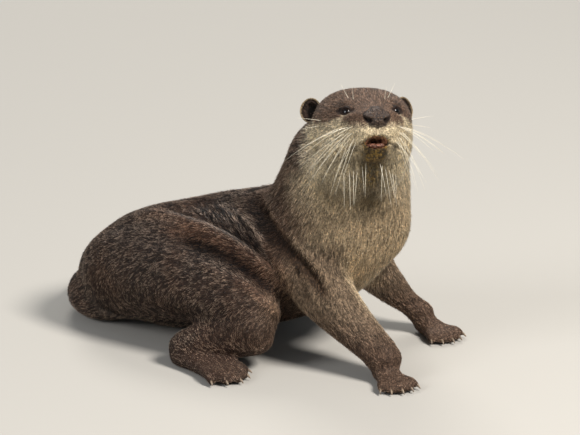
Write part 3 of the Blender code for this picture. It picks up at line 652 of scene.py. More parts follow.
# Change of length, width and number on the muzzle and on the cheeks
FACE_HAIR = ((-0.35, 1.0), (-0.10, 0.10), (0.15, -0.15))
TUFT_RISE = 0.15  # share of its length by which a tuft's tip stands off the skin
STRAY = 0.15  # spread of the tufts about the lie
SOLE_HEIGHT = 0.0012  # m over the floor below which no hair is rooted
LOCK = 5  # tufts in a lock, which draw together to its middle line
LOCK_STRETCH = 2.8  # length of a lock in its widths
LOCK_PULL = 0.6  # share of the way to the lock's middle line that a tip is drawn
LOCK_SHADE = 0.5  # share of a tuft's shade that it has from its lock
TUFT_FACES = np.array([(0, 2, 1), (0, 1, 3), (1, 2, 3), (2, 0, 3)])
PATCH = 0.003  # size of a tuft on the coat's map
FLOOR_GAP = 0.0002  # m that the tufts keep from the floor
GUIDE_TRIANGLES = 9000
COAT_PIECE = 190000  # triangles in a piece of the coat at most
NOSE_TIP = (92.0, 0.0, 4.0)  # point that the hair of the face runs away from


def part_of(node):
    """A node's name without its side."""
    return node.removesuffix("_left").removesuffix("_right")


def way_of(node):
    """The way the hair runs on one node: by the tables, or to the claws."""
    stem = part_of(node)
    if stem in LIE:
        return Vector(LIE[stem]).normalized()
    if stem in LIE_TO:
        return (centre_of(LIE_TO[stem] + node[len(stem) :]) - centre_of(node)).normalized()
    claws = [centre_of(name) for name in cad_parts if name.startswith(node + "_claw")]
    return (sum(claws, Vector()) / len(claws) - centre_of(node)).normalized()


def nodes_under(points):
    """For each point, the flesh node whose surface is nearest, as an index into FLESH."""
    corners, faces, owner = [], [], []
    for i, name in enumerate(FLESH):
        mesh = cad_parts[name].data
        first = len(corners)
        corners.extend(vertex.co.copy() for vertex in mesh.vertices)
        for polygon in mesh.polygons:
            faces.append([first + v for v in polygon.vertices])
            owner.append(i)
    tree = BVHTree.FromPolygons(corners, faces)
    return np.array([owner[tree.find_nearest(Vector(point))[2]] for point in points])


def relax(values, edges, rounds):
    """Averages values over neighbouring vertices."""
    count = len(values)
    degree = np.bincount(edges.ravel(), minlength=count)[:, None]
    for _ in range(rounds):
        total = np.zeros_like(values)
        for column in range(values.shape[1]):
            total[:, column] = np.bincount(edges[:, 0], values[edges[:, 1], column], count)
            total[:, column] += np.bincount(edges[:, 1], values[edges[:, 0], column], count)
        values = values * 0.4 + total / np.maximum(degree, 1) * 0.6
    return values


def make_guide(skin):
    """A coarse copy of the skin, unwrapped, that carries the lie, length, width and number of the tufts."""
    guide = new_object("guide", skin.data.copy())
    coarse = guide.modifiers.new("coarse", "DECIMATE")
    coarse.ratio = GUIDE_TRIANGLES / len(skin.data.polygons)
    apply_modifiers(guide)
    triangulate(guide.data)
    bpy.ops.object.select_all(action="DESELECT")
    guide.select_set(True)
    bpy.context.view_layer.objects.active = guide
    bpy.ops.object.mode_set(mode="EDIT")
    bpy.ops.mesh.select_all(action="SELECT")
    bpy.ops.uv.smart_project(angle_limit=math.radians(66), island_margin=0.004)
    bpy.ops.object.mode_set(mode="OBJECT")
    return guide


def hair_fields(guide):
    """Lie, length, width and number of the tufts at each vertex of the guide."""
    mesh = guide.data
    points = points_of(mesh)
    normals = normals_of(mesh)
    owner = nodes_under(points)
    ways = np.array([way_of(name) for name in FLESH])[owner]
    sizes = np.array([HAIR[part_of(name)] for name in FLESH])[owner]
    local = to_head(points)
    x, y, z = local.T
    on_head = head_share(points)[:, None]
    away = unit(local - np.array(NOSE_TIP))
    low = ease(-8.0, -42.0, z)[:, None] * ease(80.0, 50.0, x)[:, None]
    away = unit(away + low * np.array((-0.25, 0.0, -1.1)))
    lip = ease(64.0, 70.0, x) * ease(19.0, 13.0, np.abs(y)) * ease(-11.0, -16.0, z) * ease(-30.0, -26.0, z)
    away = unit(away + lip[:, None] * np.array((0.0, 0.0, -1.6)))
    ways = unit(ways * (1.0 - on_head) + (away @ TURN.T) * on_head)
    muzzle = ease(50.0, 66.0, x) * on_head[:, 0]
    cheek = ease(6.0, -12.0, z) * ease(58.0, 34.0, x) * on_head[:, 0]
    for column, (on_muzzle, on_cheek) in enumerate(FACE_HAIR):
        sizes[:, column] *= 1.0 + on_muzzle * muzzle + on_cheek * cheek
    edges = np.array([edge.vertices[:] for edge in mesh.edges])
    combed = fold_share(points, COMBED)[:, None]
    ways = relax(ways, edges, 10) * (1.0 - combed) + np.array(COMBED_WAY) * combed
    ways -= normals * np.sum(ways * normals, axis=1, keepdims=True)
    return np.concatenate((unit(ways), relax(sizes, edges, 9)), axis=1)


def at_guide(guide, fields, points):
    """Fields and map position at points, from the nearest triangle of the guide."""
    mesh = guide.data
    corners = points_of(mesh)
    triangles, _ = triangles_of(mesh)
    uv = np.empty(len(mesh.loops) * 2, np.float32)
    mesh.uv_layers[0].data.foreach_get("uv", uv)
    uv = uv.reshape(-1, 3, 2)
    tree = BVHTree.FromPolygons([Vector(c) for c in corners], triangles.tolist())
    found = [tree.find_nearest(Vector(point))[:3:2] for point in points]
    face = np.array([f[1] for f in found])
    place = np.array([f[0] for f in found])
    a, b, c = (corners[triangles[face, i]] for i in range(3))
    normal = np.cross(b - a, c - a)
    area = np.maximum(np.sum(normal * normal, axis=1), 1e-18)
    wb = np.sum(np.cross(place - a, c - a) * normal, axis=1) / area
    wc = np.sum(np.cross(b - a, place - a) * normal, axis=1) / area
    weights = np.stack((1.0 - wb - wc, wb, wc), axis=1)[:, :, None]
    values = np.sum(fields[triangles[face]] * weights, axis=1)
    return values, np.sum(uv[face] * weights, axis=1)


# Markings

# Edges of the pale cheeks, mm: height of the upper edge along the head, place of the back edge by height
CHEEK_EDGE = ((-60.0, -45.0, 0.0, 34.0, 54.0, 70.0, 84.0), (12.0, 12.0, 6.0, 0.5, -4.0, -7.0, -10.0))
CHEEK_BACK = ((-60.0, -35.0, -20.0, 0.0, 13.0), (-22.0, -17.0, -16.0, -23.0, -39.0))
# Middle line of the chest and neck from below, and the way their pale front faces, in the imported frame
THROAT_LINE = np.array(
    (
        (0.076, -0.033, 0.10),
        (0.0924, -0.0364, 0.142),
        (0.1064, -0.0434, 0.18),
        (0.1144, -0.0514, 0.21),
        (0.145, -0.086, 0.26),
    )
)
CHEST_WAY = np.array((0.97, -0.24))
THROAT_WAY = np.array((0.74, -0.67))
# Soft spots of the face in the head frame, mm: middle, reach, and how far across they keep their strength
MOUTH_SPOT = ((66.0, 0.0, -38.0), (17.0, 11.0, 10.5), 4.0)
CHIN_SPOT = ((40.0, 0.0, -55.0), (25.0, 15.0, 17.0), 0.0)
CORNER_SPOT = ((60.0, 21.0, -29.0), (7.0, 7.0, 3.0), 0.0)
LIP_SPOT = ((72.0, 0.0, -33.5), (9.0, 4.0, 3.4), 9.0)
BROW_SPOT = ((43.0, 28.0, 17.0), (9.0, 8.0, 7.0), 0.0)
MARKS = ("pale", "buff", "crown", "stain", "dark", "relief", "olive", "rust")


def spot(local, middle, reach, across):
    """A soft spot at the same place on both sides of the face."""
    x, y, z = local.T
    aside = np.maximum(np.abs(np.abs(y) - middle[1]) - across, 0.0)
    return hump((x - middle[0]) / reach[0], aside / reach[1], (z - middle[2]) / reach[2])


def pale_face(local, eyes, ragged):
    """Pale hair of the cheeks inside their edges and in a patch under the eye, and a painted highlight along
    the lower lid.
    """
    x, y, z = local.T
    face = 1.0 - ease(-3.5, 4.5, z - np.interp(x, *CHEEK_EDGE) + ragged)
    back = np.interp(z, *CHEEK_BACK) - 16.0 * ease(12.0, 38.0, y) * ease(8.0, -12.0, z)
    face *= ease(-5.0, 5.0, x - back + ragged * 1.5)
    patch = ease(36.0, 43.0, x) * ease(60.0, 54.0, x) * ease(6.5, 2.5, z) * ease(17.0, 22.0, np.abs(y))
    # painted highlight: a pale line along the lower lid
    rim = hump((eyes - 1.65) / 0.35) * ease(9.5, 6.5, z)
    return np.clip(face + 0.7 * patch + 0.55 * rim, 0.0, 1.0)


def pale_throat(points, ragged):
    """Pale hair on the front of the neck and breast, which turns to the animal's right as it rises."""
    height = points[:, 2]
    middle = np.stack([np.interp(height, THROAT_LINE[:, 2], THROAT_LINE[:, i]) for i in (0, 1)], axis=1)
    offset = (points[:, :2] - middle) / MM
    turn = ease(0.165, 0.235, height)[:, None]
    way = unit(CHEST_WAY * (1.0 - turn) + THROAT_WAY * turn)
    left = offset @ CHEST_WAY - 40.0 * ease(0.14, 0.25, height)
    front = np.maximum(np.sum(offset * way, axis=1), left) + 20.0 * ease(0.15, 0.20, height)
    aside = np.abs(offset[:, 1] * way[:, 0] - offset[:, 0] * way[:, 1])
    throat = ease(-14.0, 50.0, front + ragged * 2.0)
    throat *= 1.0 - 0.75 * ease(36.0, 58.0, aside) * ease(0.155, 0.125, height)
    return throat * ease(0.040, 0.080, points[:, 0]) * ease(0.030, 0.085, height)


def shaded_olive_throat(points, z):
    """Olive tinge of the wet throat and painted shade under the chin, by the photograph's columns: strong
    down its middle, faint round it.
    """
    column = in_photo(points)[:, 0]
    faint = 0.45 * (1.0 - ease(26.0, 44.0, np.abs(column - 352.0)))
    olive = np.maximum(hump((column - 369.0) / 17.0), faint)
    return olive * ease(0.155, 0.200, points[:, 2]) * ease(-24.0, -36.0, z)


def stained_face(local, ragged):
    """Wet, stained hair round the mouth, under the chin and on the lips."""
    opening = np.sqrt(egg(local, GAPE_SITE, GAPE_REACH))
    lips = ease(1.45, 1.05, opening + ragged * 0.03) * ease(50.0, 60.0, local[:, 0])
    return np.clip(1.3 * spot(local, *MOUTH_SPOT) + 0.95 * spot(local, *CHIN_SPOT) + 0.8 * lips, 0.0, 1.0)


def dark_face(local, eyes):
    """Dark hair of the lids, on the mouth's corners and lips, the brow and before the eye, and painted shade
    under the nose.
    """
    x, y, z = local.T
    flat = np.abs(y)
    tear = hump((flat - 20.0 + (x - 62.0) * 0.25) / 2.2) * ease(50.0, 58.0, x) * ease(80.0, 70.0, x)
    tear *= ease(8.0, 3.0, z) * ease(-9.0, -3.0, z)
    lids = ease(2.6, 1.5, eyes) * (0.8 - 0.6 * ease(9.5, 6.5, z))
    pad = np.sqrt(egg(local, NOSE_SITE, NOSE_REACH))
    # painted shade under the nose pad
    below = hump((pad - 1.08) / 0.10) * ease(-5.0, -9.0, z) * ease(14.0, 9.0, flat)
    mouth = 0.95 * spot(local, *CORNER_SPOT) + 0.75 * spot(local, *LIP_SPOT)
    return np.clip(lids + below + mouth + 0.75 * spot(local, *BROW_SPOT) + 0.5 * tear, 0.0, 1.0)


def markings(points):
    """Marks of the hair rooted at each point: its share of each colour, and the folds' light or shade."""
    local = to_head(points)
    x, y, z = local.T
    head = head_share(points)
    eyes = eye_size(points)
    ragged = 1.6 * np.sin(x * 0.31 + 1.0) * np.sin(y * 0.27) + rng.normal(0.0, 2.6, len(points))
    pale = pale_face(local, eyes, ragged) * head + pale_throat(points, ragged) * (1.0 - head)
    buff = ease(0.235, 0.165, points[:, 2])
    crown = head * ease(-45.0, 15.0, x) + (1.0 - head) * 0.65 * ease(0.01, 0.08, points[:, 0])
    stain = stained_face(local, ragged)
    # relief: painted light on the folds' crests and along the wrinkles, painted shade in their hollows, and
    # darker over the combed zone
    relief = np.clip(fold_height(points) / RELIEF - 0.15 * fold_share(points, COMBED), -0.5, 0.5)
    relief += 0.7 * fold_share(points, WRINKLES)
    # stain of the throat with painted shade under the chin
    olive = shaded_olive_throat(points, z) * pale * (1.0 - 0.7 * stain)
    dark = dark_face(local, eyes) * head
    return dict(zip(MARKS, (pale, buff, crown, stain, dark, relief, olive, fold_share(points, RUST_BANDS))))


def mark(mesh, marks):
    """Keeps each marking as an attribute of the mesh's points."""
    for name, values in marks.items():
        mesh.attributes.new(name, "FLOAT", "POINT").data.foreach_set("value", values.astype(np.float32))


def eye_size(points):
    """How far each point lies from the nearer eye's opening, in openings."""
    local = to_head(points)
    nearest = np.full(len(points), 9.0)
    for sign, _ in SIDES:
        centre, gaze, outer, upper = eye_axes(sign)
        offset = local - centre
        size = opening_size(offset @ outer, offset @ upper)
        shown = (offset @ gaze > 0.0) & (np.linalg.norm(offset, axis=1) < EYE_REACH)
        nearest = np.where(shown, np.minimum(nearest, size), nearest)
    return nearest


def near_skin(points):
    """Share of its length that a tuft keeps: short round the eyes, the nose pad and the mouth."""
    pad = np.sqrt(egg(to_head(points), NOSE_SITE, NOSE_REACH))
    keep = 0.22 + 0.78 * ease(1.4, 4.0, eye_size(points))
    return keep * (0.45 + 0.55 * ease(1.0, 1.7, pad))


def gape_share(points):
    """1 inside the mouth and on its lips."""
    return 1.0 - ease(0.85, 1.12, egg(to_head(points), GAPE_SITE, GAPE_REACH))


def bare_share(points):
    """1 where the face has no hair: lids, lips, nose and the inside of the mouth."""
    lids = 1.0 - ease(1.30, 1.62, eye_size(points))
    pad = 1.0 - ease(0.95, 1.1, egg(to_head(points), NOSE_SITE, NOSE_REACH))
    return np.maximum(np.maximum(lids, gape_share(points)), pad)


# Coat


def scatter(skin, guide, fields):
    """Roots spread evenly over the skin but for its bare places and its soles, and the way up from each."""
    corners = points_of(skin.data)
    normals = normals_of(skin.data)
    triangles, area = triangles_of(skin.data)
    values, _ = at_guide(guide, fields, corners)
    density = values[:, 5] * (corners[:, 2] > SOLE_HEIGHT) * (1.0 - bare_share(corners))
    expected = np.cumsum(area * density[triangles].mean(axis=1))
    number = int(expected[-1])
    ticks = (np.arange(number) + rng.random(number)) / number * expected[-1]
    chosen = np.searchsorted(expected, ticks).clip(0, len(triangles) - 1)
    u, v = rng.random(number), rng.random(number)
    over = u + v > 1.0
    u[over], v[over] = 1.0 - u[over], 1.0 - v[over]
    weights = [(weight[:, None], triangles[chosen, i]) for i, weight in enumerate((1.0 - u - v, u, v))]
    roots, ups = (sum(weight * values[rows] for weight, rows in weights) for values in (corners, normals))
    return roots, unit(ups)


def in_locks(roots, way, side):
    """The lock each tuft belongs to, and how far across it from the lock's middle line its root is."""
    seeds = rng.choice(len(roots), max(8, len(roots) // LOCK), replace=False)
    tree = KDTree(len(seeds))
    for i, seed in enumerate(seeds):
        tree.insert(roots[seed], i)
    tree.balance()
    near = np.array([[found[1] for found in tree.find_n(root, 7)] for root in roots])
    offset = roots[:, None, :] - roots[seeds[near]]
    along = np.sum(offset * way[:, None, :], axis=2)
    across = np.sum(offset * side[:, None, :], axis=2)
    best = np.argmin(across**2 + (along / LOCK_STRETCH) ** 2, axis=1)
    rows = np.arange(len(roots))
    return near[rows, best], across[rows, best]


def laid_on(tree, points, rise):
    """Points set on the skin and lifted off it."""
    out = np.empty_like(points)
    for i, point in enumerate(points):
        place, normal, _, _ = tree.find_nearest(Vector(point))
        out[i] = place + normal * float(rise[i])
    return out


def grow(tree, roots, ups, way, length, width, uv, marks):
    """Tufts as arrays: three points at the root and a tip, with their map patches and marks."""
    count = len(roots)
    way = unit(way - ups * np.sum(way * ups, axis=1, keepdims=True))
    way = unit(way + np.cross(ups, way) * rng.normal(0.0, STRAY, (count, 1)))
    side = np.cross(ups, way)
    length = length[:, None] * rng.uniform(0.65, 1.25, (count, 1)) * MM
    width = width[:, None] * rng.uniform(0.7, 1.3, (count, 1)) * MM
    rise = length[:, 0] * TUFT_RISE * rng.uniform(0.3, 1.8, count)
    lock, across = in_locks(roots, way, side)
    rise *= 0.55 + 0.9 * hump(across / (1.1 * width[:, 0]))
    tips = laid_on(tree, roots + way * length - side * across[:, None] * LOCK_PULL, rise)
    sunk = roots - ups * 0.5 * MM
    corners = [sunk + side * width * a + ups * width * b for a, b in ((-0.5, 0.0), (0.5, 0.0), (0.0, 0.42))]
    points = np.stack([*corners, tips], axis=1)
    points[:, :, 2] = np.maximum(points[:, :, 2], FLOOR_GAP)
    patch = uv[:, None, :] + PATCH * np.array(((-0.5, -0.5), (0.5, -0.5), (0.0, -0.35), (0.0, 0.5)))[None]
    marks = {name: np.repeat(value, 4) for name, value in marks.items()}
    of_lock = ease(0.1, 0.9, rng.random(lock.max() + 1))[lock]
    marks["shade"] = np.repeat(LOCK_SHADE * of_lock + (1.0 - LOCK_SHADE) * rng.random(count), 4)
    marks["along"] = np.tile((0.0, 0.0, 0.0, 1.0), count)
    return points.reshape(-1, 3), np.clip(patch, 0.0, 1.0), marks


def tuft_pieces(name, grown, coat):
    """Objects of the coat, each with every so-many-th tuft, so that each is spread over the whole animal."""
    points, patch, marks = grown
    each = len(TUFT_FACES)
    count = len(points) // each
    pieces = max(1, math.ceil(count * each / COAT_PIECE))
    for k in range(pieces):
        chosen = np.arange(k, count, pieces)
        rows = (chosen[:, None] * each + np.arange(each)).ravel()
        corners = (TUFT_FACES[None] + (np.arange(len(chosen)) * each)[:, None, None]).ravel().astype(np.int32)
        mesh = bpy.data.meshes.new(f"{name}_{k + 1}")
        mesh.vertices.add(len(rows))
        mesh.vertices.foreach_set("co", points[rows].astype(np.float32).ravel())
        mesh.loops.add(len(corners))
        mesh.loops.foreach_set("vertex_index", corners)
        mesh.polygons.add(len(corners) // 3)
        mesh.polygons.foreach_set("loop_start", np.arange(0, len(corners), 3, dtype=np.int32))
        mesh.update(calc_edges=True)
        uv_map = mesh.uv_layers.new(name="OFBake")
        uv_map.data.foreach_set("uv", patch[chosen][:, TUFT_FACES.ravel()].astype(np.float32).ravel())
        mark(mesh, {key: value[rows] for key, value in marks.items()})
        obj = new_object(mesh.name, mesh)
        smooth_shaded(obj)
        finish_piece(obj, coat, "coat_dark")


def make_coat(skin, coat):
    """Tufts over the whole skin, laid along the guide's lie."""
    guide = make_guide(skin)
    fields = hair_fields(guide)
    roots, ups = scatter(skin, guide, fields)
    values, uv = at_guide(guide, fields, roots)
    length = values[:, 3] * near_skin(roots)
    grown = grow(surface_of(skin), roots, ups, values[:, :3], length, values[:, 4], uv, markings(roots))
    tuft_pieces("coat", grown, coat)
    mesh = guide.data
    bpy.data.objects.remove(guide)
    bpy.data.meshes.remove(mesh)


# Eyes, nose, ears, tongue, claws and whiskers

# Outline of one half of the nose pad from its top to its base, mm across and up
NOSE_OUTLINE = ((0.0, 11.8), (4.2, 11.4), (10.0, 6.4), (15.0, 0.6), (13.4, -5.2), (8.6, -9.8), (0.0, -11.6))
NOSE_DEPTH = 8.5
NOSE_LEAN = 0.30  # how far the pad leans back for its height
NOSTRIL_LINE = ((16.4, 0.6), (13.2, -2.0), (10.4, -4.2), (8.0, -5.4))  # from the side of the pad inward
NOSTRIL_DEPTH = 5.0
EAR_SITE = (-20.0, 52.3, 24.8)
EAR_FACING = (0.80, 0.58, 0.12)
EAR_SIZE = (12.0, 13.4)  # half width and half height of the rim
EAR_DEPTH = 8.5
EAR_WALL = 1.5
WHISKER_COLUMNS = 5
# Ways of the lips' whiskers by row, from the top
WHISKER_WAYS = ((-0.15, 0.88, -0.36), (-0.20, 0.75, -0.56), (-0.20, 0.60, -0.72), (-0.15, 0.42, -0.88))
# Whiskers over the eye and on the cheek: root, way and length
BROW_WHISKERS = (
    ((39.0, 21.0, 26.0), (0.1, 0.45, 0.9), 19.0),
    ((43.0, 17.0, 25.0), (0.4, 0.10, 0.9), 15.0),
    ((22.0, 46.0, 6.0), (-0.2, 0.95, 0.20), 28.0),
    ((19.0, 47.0, 1.0), (-0.3, 0.95, -0.05), 24.0),
)
CHIN_WHISKERS = 6
WHISKER_RINGS = 12
WHISKER_SIDES = 5
TONGUE_SITE = np.array((61.5, 0.0, -29.4))
TONGUE_REACH = np.array((14.0, 11.5, 3.6))


def new_ball(name, detail):
    """A ball of radius 1 with even triangles."""
    bpy.ops.mesh.primitive_ico_sphere_add(subdivisions=detail, radius=1.0)
    obj = bpy.context.object
    obj.name = name
    smooth_shaded(obj)
    return obj


def finish_piece(obj, material, slot, *nodes):
    """Gives a piece its material, hangs it on the root and hides the nodes it stands for; its slot is not
    used.
    """
    obj.data.materials.append(material)
    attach(obj, "root")
    if nodes:
        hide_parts(*nodes)


def make_eyes(material):
    """Wet eyeballs with a flatter, wider cornea before the dark iris."""
    for sign, side in SIDES:
        centre, gaze, outer, upper = eye_axes(sign)
        obj = new_ball("eyeball_" + side, 5)
        points = points_of(obj.data)
        ahead = points[:, 2]
        bulge = 1.0 + 0.05 * ease(0.72, 0.95, ahead)
        axes = np.stack((outer, upper, gaze), axis=1)
        if np.linalg.det(axes) < 0.0:
            points[:, 0] *= -1.0
            obj.data.flip_normals()
        set_points(obj.data, from_head(centre + (points * bulge[:, None] * (EYE_RADIUS - 0.1)) @ axes.T))
        mark(obj.data, {"ahead": ahead})
        finish_piece(obj, material, "eye_wet", "eye_" + side)


def outline_radius(angles, half):
    """Radius of a closed symmetrical outline at angles, from one half of it."""
    whole = [*half, *[(-across, up) for across, up in half[-2:0:-1]]]
    line = curve_points([*whole, whole[0]], 8)
    turns = np.arctan2(line[:, 1], line[:, 0])
    order = np.argsort(turns)
    return np.interp(angles, turns[order], np.linalg.norm(line, axis=1)[order], period=2.0 * math.pi)


def make_nose(material):
    """Bare pad: a rounded lozenge, full below, with comma nostrils that run out to its sides."""
    obj = new_ball("nose_pad", 6)
    ahead, across, up = points_of(obj.data).T
    ring = np.hypot(across, up)
    reach = outline_radius(np.arctan2(up, across), NOSE_OUTLINE)
    y = across / np.maximum(ring, 1e-6) * reach * ring**0.85
    z = up / np.maximum(ring, 1e-6) * reach * ring**0.85
    fullness = np.maximum(1.0 - ring**2.4, 0.0) ** 0.5
    x = NOSE_DEPTH * fullness * np.sign(ahead) - NOSE_LEAN * np.maximum(z, -2.0)
    away, along = near_line(np.stack((np.abs(y), z), axis=1), curve_points(NOSTRIL_LINE))
    half_width = 1.0 + 1.2 * along
    front = (ahead > -0.2) * 1.0
    x -= front * NOSTRIL_DEPTH * (1.0 - ease(0.45, 1.25, away / half_width))
    x += front * 0.7 * hump((away / half_width - 1.9) / 0.5)
    x -= front * 0.8 * hump(y / 0.7) * ease(-1.0, -5.0, z)
    set_points(obj.data, from_head(np.stack((x, y, z), axis=1) + NOSE_SITE))
    # painted shade: near black in the nostrils and along the pad's lower rim
    hollow = front * (1.0 - ease(0.55, 1.15, away / half_width))
    edge = ease(0.78, 0.95, ring) * ease(-4.0, -8.0, z)
    mark(obj.data, {"hollow": np.maximum(hollow, 0.85 * edge)})
    finish_piece(obj, material, "nose_skin", "nose")


def make_ears(material, coat):
    """Round cups with a thin rim, a hollow darkened by painted shade and a fold in it, short-haired behind.
    """
    for sign, side in SIDES:
        centre, facing, outer, upper = axes_at(EAR_SITE, EAR_FACING, sign)
        obj = new_ball("ear_cup_" + side, 6)
        ahead, across, up = points_of(obj.data).T
        ring = np.clip(np.hypot(across, up), 0.0, 1.0)
        angle = np.arctan2(up, across)
        width = EAR_SIZE[0] * (1.0 - 0.10 * np.maximum(-up, 0.0))
        bowl = -EAR_DEPTH * np.sqrt(np.maximum(1.0 - ring**2, 0.0))
        wall = EAR_WALL * (1.0 + 1.6 * (1.0 - ring))
        inner = (ahead > 0.0) * ease(0.0, 0.25, ahead)
        fold = hump((ring - 0.62 - 0.10 * np.sin(angle)) / 0.10) * ease(-0.2, 0.8, np.cos(angle - 2.3))
        out = bowl + inner * wall + inner * 3.0 * fold + inner * 0.6 * hump((ring - 0.95) / 0.06)
        place = centre + out[:, None] * facing + (across * width)[:, None] * outer
        place += (up * EAR_SIZE[1])[:, None] * upper
        if sign > 0.0:
            obj.data.flip_normals()
        set_points(obj.data, from_head(place))
        # painted shade in the cup, off its middle toward the head
        hollow = inner * (1.0 - ease(0.45, 0.88, np.hypot(across + 0.14, up + 0.04)))
        mark(obj.data, {"hollow": hollow, "rim": ease(0.86, 0.97, ring)})
        finish_piece(obj, material, "coat_dark", "ear_" + side)
        ear_hair(obj, coat, side, (across, up, ahead, ring), (outer, upper, facing))


def ear_hair(ear, coat, side, places, ways):
    """Short hair on the back of an ear and over its rim."""
    triangles, area = triangles_of(ear.data)
    u, v, out, rim = (values[triangles].mean(axis=1) for values in places)
    inside = 0.3 + 0.7 * ease(0.5, 0.8, np.hypot(u + 0.22, v + 0.05))
    number = np.where(out < 0.12, 1.6, inside) + np.where(rim > 0.93, 2.0, 0.0)
    chosen = np.nonzero(rng.random(len(triangles)) < area * number)[0]
    roots = points_of(ear.data)[triangles[chosen]].mean(axis=1)
    ups = unit(normals_of(ear.data)[triangles[chosen]].mean(axis=1))
    u, v, out, rim = u[chosen], v[chosen], out[chosen], ease(0.85, 0.97, rim[chosen])
    outer, upper, facing = ways
    spread = (u[:, None] * outer + v[:, None] * upper) - 0.15 * facing
    way = unit(spread @ TURN.T + rng.normal(0.0, 0.12, (len(chosen), 3)))
    marks = {name: np.zeros(len(chosen)) for name in MARKS}
    marks["crown"] = 0.35 + 0.4 * rim
    marks["pale"] = 0.45 * rim
    marks["dark"] = np.where(out > 0.12, 0.85, 0.0) * (1.0 - rim)
    uv = np.stack((u * 0.11 + np.where(out > 0.0, 0.12, 0.36), v * 0.11 + 0.5), axis=1)
    grown = grow(surface_of(ear), roots, ups, way, 3.4 - 1.2 * rim, np.full(len(chosen), 0.5), uv, marks)
    tuft_pieces("ear_hair_" + side, grown, coat)


def make_tongue(material):
    """Tongue behind the lower lip, with its edges turned up and a furrow along its middle."""
    obj = new_ball("tongue_tip", 5)
    points = points_of(obj.data)
    local = points * TONGUE_REACH + TONGUE_SITE
    local[:, 2] += 1.6 * points[:, 1] ** 2 - 0.9 * hump(points[:, 1] / 0.14) * (points[:, 2] > 0.0)
    local[:, 2] += 0.55 * np.sin(local[:, 1] * 1.3 + 0.7) * np.sin(local[:, 0] * 0.8)
    local[:, 0] += 0.7 * np.sin(local[:, 1] * 0.9 + 2.0)
    set_points(obj.data, from_head(local))
    finish_piece(obj, material, "tongue_pink", "tongue")


def make_claws(material):
    """Copies of the solids' claws, rounded by subdivision."""
    nodes = [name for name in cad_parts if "claw" in name]
    obj = joined_copy("claws", nodes, 0.001)
    finer = obj.modifiers.new("finer", "SUBSURF")
    finer.levels = finer.render_levels = 2
    apply_modifiers(obj)
    smooth_shaded(obj)
    finish_piece(obj, material, "claw_horn", *nodes)


def whisker_lines():
    """Root, way, length and droop of each whisker: rows on the lips, then brow and cheek, then chin."""
    lines = []
    for sign, _ in SIDES:
        mirror = np.array((1.0, sign, 1.0))
        for row, row_way in enumerate(WHISKER_WAYS):
            for column in range(WHISKER_COLUMNS - (row + 1) // 2):
                start = (69.0 - column * 4.4, 21.0 + column * 3.6, -8.0 - row * 5.0 + column * 0.4) * mirror
                way = row_way * mirror + rng.normal(0.0, 0.11, 3)
                lines.append((start, way, rng.uniform(38.0, 58.0) + column * 6.0, 0.8))
        for start, way, length in BROW_WHISKERS:
            lines.append((start * mirror, way * mirror, length, 0.2))
        for k in range(CHIN_WHISKERS):
            start = (50.0 - k * 5.0 + rng.uniform(-3.0, 3.0), 8.0 + k * 3.4, -44.0 - k * 0.8) * mirror
            way = (0.15, 0.05, -1.0) * mirror + rng.normal(0.0, 0.07, 3)
            lines.append((start, way, rng.uniform(26.0, 48.0), 0.4))
    return lines


def make_whiskers(material, tree):
    """Stiff tapered hairs, rooted in the skin, that droop to the back."""
    points, faces = [], []
    rings, sides = WHISKER_RINGS, WHISKER_SIDES
    for start, way, length, droop in whisker_lines():
        place, normal, _, _ = tree.find_nearest(Vector(from_head(start)))
        here = to_head(np.array([place]))[0] - unit(np.array(normal) @ TURN) * 1.0
        way = unit(way)
        first = len(points)
        for k in range(rings + 1):
            radius = 0.18 * (1.0 - k / rings) ** 0.8 + 0.04
            side = unit(np.cross(way, (0.3, 0.1, 1.0)))
            over = np.cross(side, way)
            for i in range(sides):
                turn = 2.0 * math.pi * i / sides
                points.append(here + side * radius * math.cos(turn) + over * radius * math.sin(turn))
            here = here + way * length / rings
            way = unit(way + np.array((-0.02, 0.0, -0.035)) * droop)
        for low in range(first, first + rings * sides, sides):
            for i in range(sides):
                j = (i + 1) % sides
                faces.append((low + i, low + j, low + sides + j, low + sides + i))
        faces.append(tuple(first + i for i in range(sides - 1, -1, -1)))
        faces.append(tuple(first + rings * sides + i for i in range(sides)))
    mesh = bpy.data.meshes.new("whiskers")
    mesh.from_pydata(from_head(np.array(points)).tolist(), [], faces)
    obj = new_object("whiskers", mesh)
    smooth_shaded(obj)
    finish_piece(obj, material, "coat_pale")


# Camera, light and floor

# Lamps: name, place in metres, width, watts and colour
LAMPS = (
    ("key", (2.2, -0.7, 2.6), 1.1, 185.0, (1.0, 0.97, 0.93)),
    ("fill", (-2.2, -3.2, 2.2), 2.0, 92.0, (0.97, 0.98, 1.0)),
    ("rim", (-1.4, 2.4, 2.6), 1.6, 70.0, (1.0, 0.98, 0.94)),
)


def make_camera():
    camera = bpy.data.cameras.new("camera")
    obj = new_object("camera", camera)
    right = Vector((math.cos(math.radians(AZIMUTH)), math.sin(math.radians(AZIMUTH)), 0.0))
    up = TO_CAMERA.cross(right).normalized()
    middle = (PHOTO_SIZE[0] / 2 - FLOOR_PIXEL[0], FLOOR_PIXEL[1] - PHOTO_SIZE[1] / 2)
    target = Vector(SHIFT) + right * (middle[0] * PIXEL) + up * (middle[1] * PIXEL)
    obj.location = target + TO_CAMERA * CAMERA_DISTANCE
    obj.rotation_mode = "QUATERNION"
    obj.rotation_quaternion = (-TO_CAMERA).to_track_quat("-Z", "Y")
    camera.lens = camera.sensor_width / (PHOTO_SIZE[0] * PIXEL) * CAMERA_DISTANCE
    camera.clip_end = 100.0
    bpy.context.scene.camera = obj


def make_light(name, at, size, power, colour):
    light = bpy.data.lights.new(name, "AREA")
    light.shape = "DISK"
    light.size = size
    light.energy = power
    light.color = colour
    obj = new_object(name, light)
    obj.location = at
    obj.rotation_mode = "QUATERNION"
    obj.rotation_quaternion = (HEAD_AT - Vector(at)).to_track_quat("-Z", "Y")


